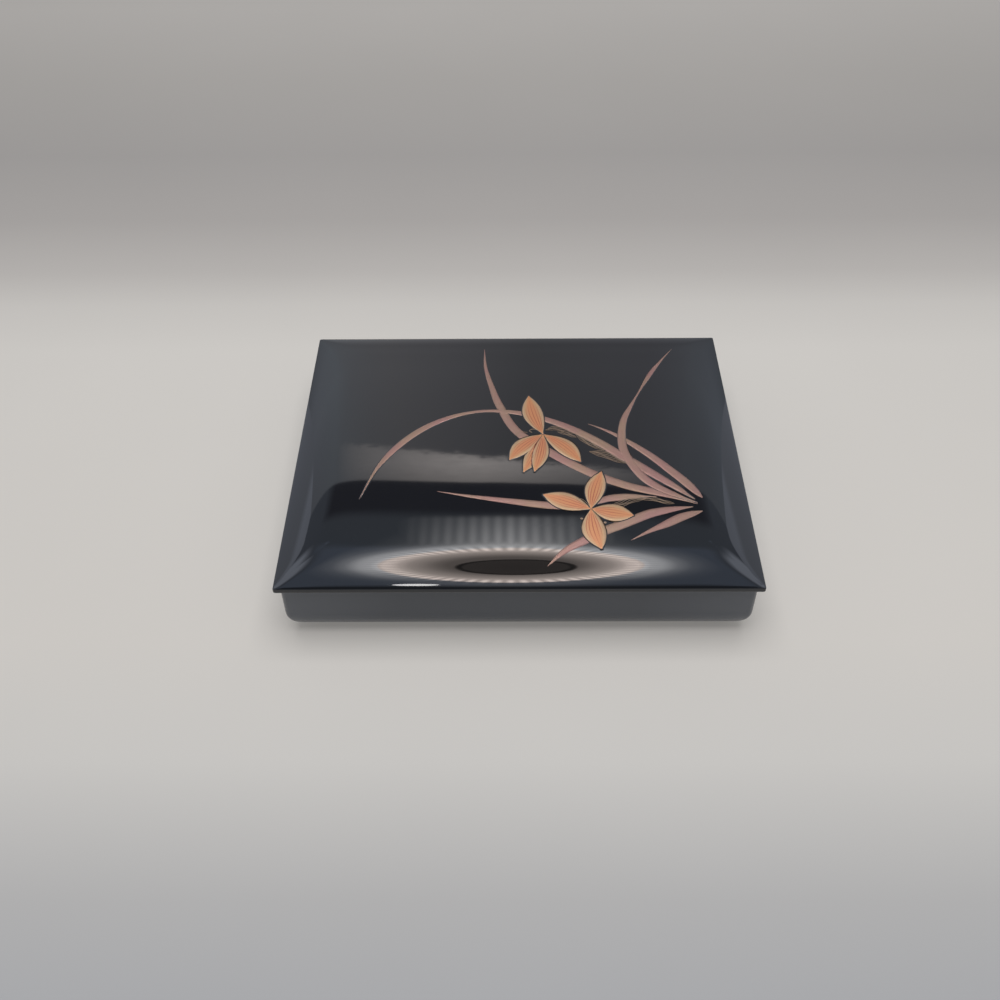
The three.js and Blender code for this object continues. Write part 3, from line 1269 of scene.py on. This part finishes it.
    def flower(self, name: str, petals: Sequence[Petal]) -> None:
        """Builds one flower: its petals, their dark outlines and their veins.

        Args:
            name: The flower's name.
            petals: Its petals, the lowest first.
        """
        edges = Piece(name + "_outlines", Body.LID, Slot.LID, self.ground)
        veins = Piece(name + "_veins", Body.LID, Slot.LINE, self.vein)
        for index, petal in enumerate(petals, start=1):
            lift = self.ground_lift + self.layer_lift * petal.layer
            piece = Piece(f"{name}_petal_{index}", Body.LID, Slot.PETAL, self.petal_powder)
            self.lay(piece.mesh, self.petal_route(petal), lift, self.petal_steps, self.petal_across)
            piece.finish()
            around = self.petal_route(petal, 2 * self.outline)
            self.lay(edges.mesh, around, lift - self.layer_lift / 2, self.petal_steps)
            for side in self.vein_sides:
                line = self.vein_width * (1 - self.side_vein_thinning * abs(side))
                route = self.petal_route(petal, side=side, line=line)
                vein_lift = lift + self.thickness * self.vein_lift_share
                self.lay(veins.mesh, route, vein_lift, self.vein_steps, self.line_across)
        edges.finish()
        veins.finish()

    def fine_work(self) -> None:
        """Builds the gold lines: the sheaths on the stems and the stamen dots."""
        lines = Piece("gold_lines", Body.LID, Slot.LINE, self.gold)
        lift = self.ground_lift + self.layer_lift * self.line_layer
        for sheath in SHEATHS:
            for line in range(sheath.lines):
                strand = 2 * line / (sheath.lines - 1) - 1
                route = self.strand_route(sheath, strand)
                self.lay(lines.mesh, route, lift, self.strand_steps, self.line_across)
        for curl in CURLS:
            route = self.curl_route(curl)
            self.lay(lines.mesh, route, lift + self.layer_lift, self.curl_steps, self.line_across)
        for x, y in STAMENS:
            radius = self.stamen_radius * MM
            made = bmesh.ops.create_uvsphere(lines.mesh, u_segments=12, v_segments=8, radius=radius)
            bmesh.ops.scale(lines.mesh, vec=(1, 1, self.stamen_flatness), verts=made["verts"])
            bmesh.ops.translate(lines.mesh, vec=self.height(Vector((x, y)), lift), verts=made["verts"])
        lines.finish()

    def strand_route(self, sheath: Sheath, strand: float) -> Route:
        """The route of one gold line of a sheath, which swells away from the others in the middle.

        Args:
            sheath: The sheath.
            strand: Where the line lies across the sheath, from -1 to 1.

        Returns:
            A function from a share of the length to middle, direction and width.
        """
        def route(share: float) -> tuple[Vector, Vector, float]:
            """The middle, direction and width at a share of the length."""
            place, direction = along_curve(sheath.points, share)
            sideways = Vector((-direction.y, direction.x))
            swell = sheath.swell * strand * math.sin(math.pi * share) ** self.strand_fullness
            ripple = self.waver * math.sin(self.waver_along * share + self.waver_across * strand)
            fullness = self.line_end_share + (1 - self.line_end_share) * math.sin(math.pi * share)
            return place + sideways * (swell + ripple), direction, self.line_width * fullness

        return route

    def curl_route(self, points: Sequence[Plan]) -> Route:
        """The route of a curl at a flower's heart.

        Args:
            points: The curl's middle line.

        Returns:
            A function from a share of the length to middle, direction and width.
        """
        def route(share: float) -> tuple[Vector, Vector, float]:
            """The middle, direction and width at a share of the length."""
            place, direction = along_curve(points, share)
            start, end = self.curl_shares
            return place, direction, self.line_width * (start + (end - start) * share)

        return route

    def build(self) -> None:
        """Builds the whole spray."""
        self.blades()
        self.flower("upper_flower", UPPER_FLOWER)
        self.flower("lower_flower", LOWER_FLOWER)
        self.fine_work()


@dataclass(frozen=True)
class Tent:
    """The light tent round the box, seen only in its gloss. Places are in millimetres."""

    left: float = -345.0
    right: float = 345.0
    front: float = -520.0
    back: float = 300.0
    roof: float = 408.0
    roof_slant: float = 0.05
    wall_height: float = 460.0
    cloth: Tints = (
        (0.0, (0.78, 0.84, 0.98)), (0.2, (0.9, 0.99, 1.12)), (0.35, (0.84, 0.84, 0.9)),
        (0.45, (0.68, 0.68, 0.74)), (0.52, (0.54, 0.55, 0.6)), (0.66, (0.55, 0.56, 0.63)),
        (0.75, (0.65, 0.7, 0.8)), (1.0, (0.68, 0.76, 0.9)),
    )
    foot_shades: Tints = (
        (0.0, (0.45, 0.45, 0.45)), (0.2, (0.56, 0.56, 0.56)), (0.33, (0.86, 0.86, 0.86)), (0.45, WHITE),
    )
    strip: Colour = (4.2, 3.9, 3.8)
    strip_top: Colour = (2.0, 1.85, 1.8)
    strip_rise: Span = (358.0, 364.0)
    strip_fade: Span = (371.0, 413.0)
    strip_slant: float = 0.2
    strip_shares: Amounts = (
        (0.22, 0.0), (0.27, 0.18), (0.33, 0.42), (0.38, 0.74), (0.43, 0.96), (0.46, 1.0), (0.51, 0.82),
        (0.57, 0.6), (0.64, 0.4), (0.72, 0.0),
    )
    streak_shares: Span = (1.15, 0.45)
    streak_scale: float = 150.0
    streak_stretch: tuple[float, float, float] = (0.3, 1.0, 1.6)
    streak_height: float = 55.0
    side_foot: Colour = (0.66, 0.71, 0.84)
    side_cloth: Colour = (0.8, 0.86, 1.0)
    side_fade: Span = (100.0, 250.0)
    side_strip: Colour = (1.2, 1.3, 1.55)
    side_rise: Span = (252.0, 302.0)
    right_share: float = 0.95
    front_dark: Colour = (0.14, 0.15, 0.18)
    roof_tones: Tints = (
        (0.0, (0.13, 0.15, 0.19)), (0.44, (0.13, 0.15, 0.19)), (0.47, (0.62, 0.74, 0.98)),
        (0.83, (0.62, 0.74, 0.98)), (0.86, (0.42, 0.49, 0.6)), (0.916, (0.42, 0.48, 0.58)),
        (0.936, (0.16, 0.17, 0.225)), (1.0, (0.16, 0.17, 0.225)),
    )
    roof_side: Colour = (0.44, 0.5, 0.62)
    roof_side_span: Span = (196.65, 234.6)
    roof_edge: Colour = (1.75, 1.9, 2.25)
    roof_edge_span: Span = (227.7, 262.2)
    roof_edge_end: Span = (190.0, 150.0)


@dataclass(frozen=True)
class RingLamp:
    """The round lamp over the box: a dark middle, a dull diffuser, bright beads and their halo.

    Places are in millimetres. The bead band, hole, face and glow give a strength at shares of the radius.
    """

    middle: Plan = (-3.5, -25.5)
    hole_middle: Plan = (0.0, -35.5)
    height: float = 250.0
    radius: float = 88.0
    depth_share: float = 0.94
    halo: float = 1.75
    rim: float = 1.04
    beads: int = 60
    bead_depth: float = 0.25
    bead_band: Amounts = ((0.85, 0.0), (0.93, 1.0), (1.06, 1.0), (1.2, 0.0))
    brightest: float = 20.0
    hole: Amounts = ((0.0, 0.42), (0.41, 0.48), (0.43, 0.16), (0.46, 0.16), (0.48, 1.0))
    face: Amounts = (
        (0.0, 1.2), (0.5, 1.5), (0.6, 2.3), (0.7, 3.6), (0.8, 4.8), (0.87, 7.0), (0.93, 12.4), (1.0, 14.0),
        (1.04, 10.0),
    )
    glow: Amounts = (
        (1.04, 10.0), (1.1, 6.4), (1.18, 4.8), (1.3, 1.9), (1.42, 0.7), (1.55, 0.25), (1.7, 0.0),
    )
    right_glow: float = 1.05
    right_span: Span = (-44.0, 61.6)
    least_glow: float = 0.15
    front_span: Span = (-79.2, -17.6)
    sheet_glow: float = 5.9
    sheet_half_width: float = 84.0
    sheet_start: Span = (0.0, 10.0)
    sheet_fade: Span = (138.0, 69.0)
    sheet_end: Span = (138.0, 133.0)
    streak_depth: float = 0.28
    warm: Colour = (1.0, 0.86, 0.79)
    cool: Colour = (1.0, 0.985, 0.98)
    spark: float = 16.0
    spark_middle: Plan = (-68.0, -121.0)
    spark_size: Plan = (32.0, 9.0)
    spark_drop: float = 1.0


@dataclass
class Studio:
    """Pale floor, soft light and the camera.

    The lamp's size and place are in metres, all other places in millimetres and the camera's turns in
    degrees. focal_pixels is the lens's length in widths of one pixel.
    """

    tent: Tent
    ring: RingLamp
    floor_size: float = 6000.0
    floor_drop: float = 0.2
    painted_shade_span: Span = (-300.0, 700.0)
    painted_floor_shade: Tints = (
        (0.02, (0.39, 0.393, 0.405)), (0.063, (0.43, 0.425, 0.425)), (0.13, (0.565, 0.55, 0.53)),
        (0.2, (0.6, 0.575, 0.545)), (0.44, (0.61, 0.588, 0.56)), (0.49, (0.565, 0.544, 0.52)),
        (0.53, (0.475, 0.454, 0.437)), (0.6, (0.395, 0.376, 0.365)), (0.7, (0.365, 0.35, 0.342)),
        (0.84, (0.415, 0.398, 0.383)), (1.0, (0.49, 0.47, 0.452)),
    )
    floor_grain: float = 6.0
    floor_shade: float = 0.96
    floor_glow: float = 0.275
    floor_roughness: float = 0.9
    sky: Colour = (0.24, 0.243, 0.246)
    lamp_power: float = 14.0
    lamp_size: float = 1.2
    lamp_place: tuple[float, float, float] = (0.0, -0.14, 1.5)
    camera_mm: tuple[float, float, float] = (-4.89, -440.62, 452.02)
    pitch: float = 45.742
    yaw: float = -0.641
    roll: float = -0.639
    focal_pixels: float = 1100.0
    nearest_seen: float = 10.0

    def floor(self) -> None:
        """Lays the floor, with painted shade that greys it softly in front and towards the back, and a glow
        of its own, painted light that lifts its shadows.
        """
        material, nodes, shader = new_material("floor_sheet")
        place = nodes.place()
        # Painted shade: the floor's colour darkens in front and towards the back.
        tone = nodes.ramp(nodes.share(nodes.axis(place, "Y"), *self.painted_shade_span), self.painted_floor_shade)
        dim = nodes.mix(self.floor_shade, BLACK, tone)
        sheet = nodes.mix(nodes.noise(place, self.floor_grain, 3.0), dim, tone)
        nodes.feed(shader.inputs["Base Color"], sheet)
        # The floor's glow is painted light that lifts its shadows.
        nodes.feed(shader.inputs["Emission Color"], sheet)
        shader.inputs["Emission Strength"].default_value = self.floor_glow
        shader.inputs["Roughness"].default_value = self.floor_roughness
        shader.inputs["Specular IOR Level"].default_value = 0.0
        mesh = bmesh.new()
        bmesh.ops.create_grid(mesh, x_segments=1, y_segments=1, size=self.floor_size / 2 * MM)
        bmesh.ops.translate(mesh, vec=(0.0, 0.0, -self.floor_drop * MM), verts=mesh.verts)
        self.stand("floor", mesh, material)

    @staticmethod
    def stand(name: str, mesh: BMesh, material: Material) -> Object:
        """Puts a piece of the studio into the scene.

        Args:
            name: Its name.
            mesh: Its mesh, which is freed.
            material: Its material.

        Returns:
            The new object.
        """
        data = bpy.data.meshes.new(name)
        mesh.to_mesh(data)
        mesh.free()
        data.materials.append(material)
        thing = bpy.data.objects.new(name, data)
        bpy.context.scene.collection.objects.link(thing)
        return thing

    def reflector(self, name: str, mesh: BMesh, material: Material) -> None:
        """Puts a piece of the studio into the scene that only gloss shows.

        Args:
            name: Its name.
            mesh: Its mesh, which is freed.
            material: Its material.
        """
        thing = self.stand(name, mesh, material)
        thing.visible_camera = False
        thing.visible_diffuse = False
        thing.visible_transmission = False
        thing.visible_shadow = False

    @staticmethod
    def glow(name: str) -> tuple[Material, Nodes, Node]:
        """Starts a material that glows.

        Args:
            name: The material's name.

        Returns:
            The material, its nodes and the emission shader.
        """
        material, nodes = blank_material(name)
        light = nodes.add("Emission", Strength=1.0)
        nodes.add("OutputMaterial", Surface=light.outputs["Emission"])
        return material, nodes, light

    def world(self) -> None:
        """Makes the even pale surround that lights everything softly."""
        world = bpy.data.worlds.new("soft_surround")
        bpy.context.scene.world = world
        world.use_nodes = True
        nodes = Nodes(world.node_tree)
        light = nodes.add("Background", Color=self.sky, Strength=1.0)
        nodes.add("OutputWorld", Surface=light.outputs["Background"])

    def soft_lamp(self) -> None:
        """Hangs the soft lamp that lights the box from above and casts its shadow."""
        data = bpy.data.lights.new("soft_lamp", "AREA")
        data.energy = self.lamp_power
        data.size = self.lamp_size
        data.specular_factor = 0.0
        lamp = bpy.data.objects.new("soft_lamp", data)
        lamp.location = self.lamp_place
        lamp.visible_glossy = False
        bpy.context.scene.collection.objects.link(lamp)

    def back_wall(self) -> Material:
        """Makes the back wall: cloth that dims to the right, with a bright, streaky strip under the roof.

        Returns:
            The material.
        """
        tent = self.tent
        material, nodes, light = self.glow("tent_back")
        place = nodes.place()
        aside, height = nodes.axis(place, "X"), nodes.axis(place, "Z")
        along = nodes.share(aside, tent.left, tent.right)
        foot = nodes.ramp(nodes.share(height, 0.0, tent.wall_height), tent.foot_shades)
        cloth = nodes.mix(foot, BLACK, nodes.ramp(along, tent.cloth))

        lying = nodes.add("Mapping", Vector=place)
        lying.inputs["Scale"].default_value = tent.streak_stretch
        streak = nodes.noise(lying.outputs["Vector"], tent.streak_scale, 4.0, roughness=0.75)
        streaks = (tuple(share * tone for tone in tent.strip) for share in tent.streak_shares)
        strip = nodes.mix(streak, *streaks)
        strip = nodes.mix(nodes.share(height, *tent.strip_fade), strip, tent.strip_top)

        shift = nodes.math("MULTIPLY", nodes.math("SUBTRACT", streak, 0.5), tent.streak_height * MM)
        climb = nodes.math("MULTIPLY", aside, tent.strip_slant)
        level = nodes.math("SUBTRACT", nodes.math("ADD", height, shift), climb)
        window = nodes.ramp(along, [(at, (glow,) * 3) for at, glow in tent.strip_shares])
        lit = nodes.math("MULTIPLY", nodes.share(level, *tent.strip_rise), window)
        nodes.feed(light.inputs["Color"], nodes.mix(lit, cloth, strip))
        return material

    def side_wall(self, name: str, strength: float) -> Material:
        """Makes a side wall: cool cloth that brightens towards the roof.

        Args:
            name: The material's name.
            strength: How strongly the wall's upper part glows.

        Returns:
            The material.
        """
        tent = self.tent
        material, nodes, light = self.glow(name)
        height = nodes.axis(nodes.place(), "Z")
        cloth = nodes.mix(nodes.share(height, *tent.side_fade), tent.side_foot, tent.side_cloth)
        strip = tuple(strength * tone for tone in tent.side_strip)
        nodes.feed(light.inputs["Color"], nodes.mix(nodes.share(height, *tent.side_rise), cloth, strip))
        return material

    def roof(self) -> Material:
        """Makes the roof: cool over the box, dark in front and at the back, brighter along its sides.

        Returns:
            The material.
        """
        tent = self.tent
        material, nodes, light = self.glow("tent_roof")
        parts = nodes.add("SeparateXYZ", Vector=nodes.place())
        tone = nodes.ramp(nodes.share(parts.outputs["Y"], tent.front, tent.back), tent.roof_tones)
        off_middle = nodes.math("ABSOLUTE", parts.outputs["X"])
        tone = nodes.mix(nodes.share(off_middle, *tent.roof_side_span), tone, tent.roof_side)
        side = nodes.share(off_middle, *tent.roof_edge_span)
        edge = nodes.math("MULTIPLY", side, nodes.share(parts.outputs["Y"], *tent.roof_edge_end))
        nodes.feed(light.inputs["Color"], nodes.mix(edge, tone, tent.roof_edge))
        return material

    def tent_walls(self) -> None:
        """Raises the tent: back, sides, front and roof."""
        tent = self.tent
        left = self.side_wall("tent_left", 1.0)
        right = self.side_wall("tent_right", tent.right_share)
        dark, nodes, light = self.glow("tent_front")
        nodes.feed(light.inputs["Color"], tent.front_dark)
        width, depth, height = tent.right - tent.left, tent.back - tent.front, tent.wall_height
        middle = (tent.front + tent.back) / 2
        upright = Matrix.Rotation(math.pi / 2, 3, "X")
        sideways = Matrix.Rotation(math.pi / 2, 3, "Y")
        slanted = Matrix.Rotation(-math.atan(tent.roof_slant), 3, "Y")
        sheets = (
            ("tent_back", self.back_wall(), (width, height), (0.0, tent.back, height / 2), upright),
            ("tent_front", dark, (width, height), (0.0, tent.front, height / 2), upright),
            ("tent_left", left, (height, depth), (tent.left, middle, height / 2), sideways),
            ("tent_right", right, (height, depth), (tent.right, middle, height / 2), sideways),
            ("tent_roof", self.roof(), (width, depth), (0.0, middle, tent.roof), slanted),
        )
        for name, material, size, place, turn in sheets:
            mesh = bmesh.new()
            bmesh.ops.create_grid(mesh, x_segments=1, y_segments=1, size=0.5 * MM)
            bmesh.ops.scale(mesh, vec=(size[0], size[1], 1.0), verts=mesh.verts)
            bmesh.ops.rotate(mesh, cent=(0, 0, 0), matrix=turn, verts=mesh.verts)
            bmesh.ops.translate(mesh, vec=Vector(place) * MM, verts=mesh.verts)
            self.reflector(name, mesh, material)

    def strength(self, nodes: Nodes, reach: NodeSocket, stops: Amounts, full: float) -> NodeSocket:
        """How strong something on the ring lamp is at a share of the lamp's radius.

        Args:
            nodes: The material's nodes.
            reach: The share of the radius.
            stops: Shares of the radius and the strengths there.
            full: The strength that counts as 1.

        Returns:
            The strength, from 0 to 1.
        """
        halo = self.ring.halo
        share = nodes.math("DIVIDE", reach, halo)
        return nodes.ramp(share, [(at / halo, (amount / full,) * 3) for at, amount in stops])

    def reach(self, nodes: Nodes, parts: Node, middle: Plan) -> NodeSocket:
        """How far a point of the ring lamp lies from a middle, as a share of its radius.

        Args:
            nodes: The material's nodes.
            parts: The node with the point's coordinates.
            middle: The middle, in millimetres.

        Returns:
            The share, 1 at the beads.
        """
        aside = nodes.math("SUBTRACT", parts.outputs["X"], middle[0] * MM)
        away = nodes.math("SUBTRACT", parts.outputs["Y"], middle[1] * MM)
        deep = nodes.math("DIVIDE", away, self.ring.depth_share)
        square = nodes.math("ADD", nodes.math("MULTIPLY", aside, aside), nodes.math("MULTIPLY", deep, deep))
        return nodes.math("DIVIDE", nodes.math("SQRT", square), self.ring.radius * MM)

    def beading(self, nodes: Nodes, aside: NodeSocket, away: NodeSocket, reach: NodeSocket) -> NodeSocket:
        """How the beads along the ring lamp's rim vary its glow.

        Args:
            nodes: The material's nodes.
            aside: How far a point lies to the right of the lamp's middle, in metres.
            away: How far it lies behind the middle, in metres.
            reach: The share of the radius.

        Returns:
            What the glow is multiplied by, 1 on a bead and away from the rim.
        """
        ring = self.ring
        turn = nodes.math("ARCTAN2", nodes.math("DIVIDE", away, ring.depth_share), aside)
        bead = nodes.math("COSINE", nodes.math("MULTIPLY", turn, float(ring.beads)))
        dip = nodes.math("MULTIPLY", nodes.math("SUBTRACT", bead, 1.0), ring.bead_depth)
        near_rim = self.strength(nodes, reach, ring.bead_band, 1.0)
        return nodes.math("ADD", nodes.math("MULTIPLY", near_rim, dip), 1.0)

    def streaked_sheet(self, nodes: Nodes, aside: NodeSocket, away: NodeSocket) -> NodeSocket:
        """The sheet of upright streaks behind the ring lamp.

        Args:
            nodes: The material's nodes.
            aside: How far a point lies to the right of the lamp's middle, in metres.
            away: How far it lies behind the middle, in metres.

        Returns:
            The sheet's glow, where 1 is the lamp's brightest.
        """
        ring = self.ring
        wave = nodes.math("COSINE", nodes.math("MULTIPLY", aside, ring.beads / (ring.radius * MM)))
        sheet = nodes.math("ADD", nodes.math("MULTIPLY", wave, ring.streak_depth), 1.0)
        fades = (
            nodes.share(nodes.math("ABSOLUTE", aside), ring.sheet_half_width, 0.0),
            nodes.share(away, *ring.sheet_start),
            nodes.share(away, *ring.sheet_fade, ring.least_glow, 1.0),
            nodes.share(away, *ring.sheet_end),
        )
        for fade in fades:
            sheet = nodes.math("MULTIPLY", sheet, fade)
        return nodes.math("MULTIPLY", sheet, ring.sheet_glow / ring.brightest)

    def lamp_material(self) -> Material:
        """Makes the ring lamp's material: a warm face with a dark middle, and a cool, clear halo round it.

        Returns:
            The material.
        """
        ring = self.ring
        material, nodes = blank_material("ring_lamp")
        parts = nodes.add("SeparateXYZ", Vector=nodes.place())
        aside = nodes.math("SUBTRACT", parts.outputs["X"], ring.middle[0] * MM)
        away = nodes.math("SUBTRACT", parts.outputs["Y"], ring.middle[1] * MM)
        reach = self.reach(nodes, parts, ring.middle)
        beading = self.beading(nodes, aside, away, reach)

        face = nodes.math("MULTIPLY", self.strength(nodes, reach, ring.face, ring.brightest), beading)
        face = nodes.math("MULTIPLY", face, nodes.share(aside, *ring.right_span, 1.0, ring.right_glow))
        hole_reach = self.reach(nodes, parts, ring.hole_middle)
        inside = nodes.math("LESS_THAN", hole_reach, ring.hole[-1][0])
        face = nodes.mix(inside, face, self.strength(nodes, hole_reach, ring.hole, ring.brightest))

        halo = nodes.math("MULTIPLY", self.strength(nodes, reach, ring.glow, ring.brightest), beading)
        halo = nodes.math("MULTIPLY", halo, nodes.share(away, *ring.front_span, ring.least_glow, 1.0))
        halo = nodes.math("MAXIMUM", halo, self.streaked_sheet(nodes, aside, away))

        warm = nodes.add("Emission", Color=ring.warm, Strength=nodes.math("MULTIPLY", face, ring.brightest))
        cool = nodes.add("Emission", Color=ring.cool, Strength=nodes.math("MULTIPLY", halo, ring.brightest))
        over = nodes.add("AddShader")
        nodes.feed(over.inputs[0], cool.outputs["Emission"])
        nodes.feed(over.inputs[1], nodes.add("BsdfTransparent").outputs["BSDF"])
        whole = nodes.add("MixShader", Fac=nodes.math("GREATER_THAN", reach, ring.rim))
        nodes.feed(whole.inputs[1], warm.outputs["Emission"])
        nodes.feed(whole.inputs[2], over.outputs[0])
        nodes.add("OutputMaterial", Surface=whole.outputs[0])
        return material

    def ring_lamp(self) -> None:
        """Hangs the ring lamp that the front roll of the lid mirrors."""
        ring = self.ring
        mesh = bmesh.new()
        bmesh.ops.create_circle(mesh, cap_ends=True, segments=96, radius=ring.radius * ring.halo * MM)
        bmesh.ops.translate(mesh, vec=Vector((*ring.middle, ring.height)) * MM, verts=mesh.verts)
        self.reflector("ring_lamp", mesh, self.lamp_material())

    def spark(self) -> None:
        """Hangs the small spark in front of the ring lamp."""
        ring = self.ring
        material, nodes, light = self.glow("spark")
        nodes.feed(light.inputs["Color"], ring.cool)
        nodes.feed(light.inputs["Strength"], ring.spark)
        mesh = bmesh.new()
        bmesh.ops.create_circle(mesh, cap_ends=True, segments=32, radius=0.5 * MM)
        bmesh.ops.scale(mesh, vec=(*ring.spark_size, 1.0), verts=mesh.verts)
        place = Vector((*ring.spark_middle, ring.height - ring.spark_drop)) * MM
        bmesh.ops.translate(mesh, vec=place, verts=mesh.verts)
        self.reflector("spark", mesh, material)

    def camera(self) -> None:
        """Places the camera where the photograph was taken from."""
        pitch, yaw, roll = (math.radians(angle) for angle in (self.pitch, self.yaw, self.roll))
        ahead = Vector((math.sin(yaw) * math.cos(pitch), math.cos(yaw) * math.cos(pitch), -math.sin(pitch)))
        right = Vector((math.cos(yaw), -math.sin(yaw), 0.0))
        up = right.cross(ahead)
        turned_right = right * math.cos(roll) + up * math.sin(roll)
        turned_up = up * math.cos(roll) - right * math.sin(roll)
        data = bpy.data.cameras.new("camera")
        data.sensor_width = SENSOR_MM
        data.lens = SENSOR_MM * self.focal_pixels / PIXELS
        data.clip_start = self.nearest_seen * MM
        camera = bpy.data.objects.new("camera", data)
        basis = Matrix((turned_right, turned_up, -ahead)).transposed().to_4x4()
        camera.matrix_world = Matrix.Translation(Vector(self.camera_mm) * MM) @ basis
        bpy.context.scene.collection.objects.link(camera)
        bpy.context.scene.camera = camera

    def build(self) -> None:
        """Builds the floor, the light and the camera."""
        self.floor()
        self.world()
        self.soft_lamp()
        self.tent_walls()
        self.ring_lamp()
        self.spark()
        self.camera()
        bpy.context.scene.view_settings.view_transform = "Standard"


def main() -> None:
    """Builds the box's looks in order."""
    logging.basicConfig(level=logging.INFO, format="%(name)s: %(message)s")
    form = LidForm.from_frame()
    lid_lacquer = LacquerFinish("lid_black_lacquer", (0.0035, 0.0037, 0.0045), (0.0055, 0.0055, 0.006),
                                roughness=0.03, rough_spread=0.02, wave_height=0.012, hairline_strength=0.03,
                                rim_top=form.seat + form.rim, rim_foot=form.seat).build()
    # The body lacquer's grey towards its ends is a painted sheen.
    body_lacquer = LacquerFinish("body_black_lacquer", (0.04, 0.049, 0.065), (0.046, 0.055, 0.072),
                                 roughness=0.2, rough_spread=0.08, wave_height=0.03, hairline_strength=0.06,
                                 painted_end_sheen=(0.036, 0.038, 0.043), refraction=1.65).build()
    lid = Lid(form, lid_lacquer)
    lid.skin()
    lid.strips()
    BoxBody(body_lacquer).skin()
    OrchidSpray(
        form,
        ground=lid_lacquer,
        blade_powder=BladeFinish().build(),
        petal_powder=PetalFinish().build(),
        vein=LineFinish("vein_lines", (0.33, 0.075, 0.035), (0.42, 0.11, 0.05)).build(),
        gold=LineFinish("gold_lines", (0.22, 0.16, 0.1), (0.3, 0.2, 0.14)).build(),
    ).build()
    Studio(Tent(), RingLamp()).build()


if __name__ == "__main__":
    main()
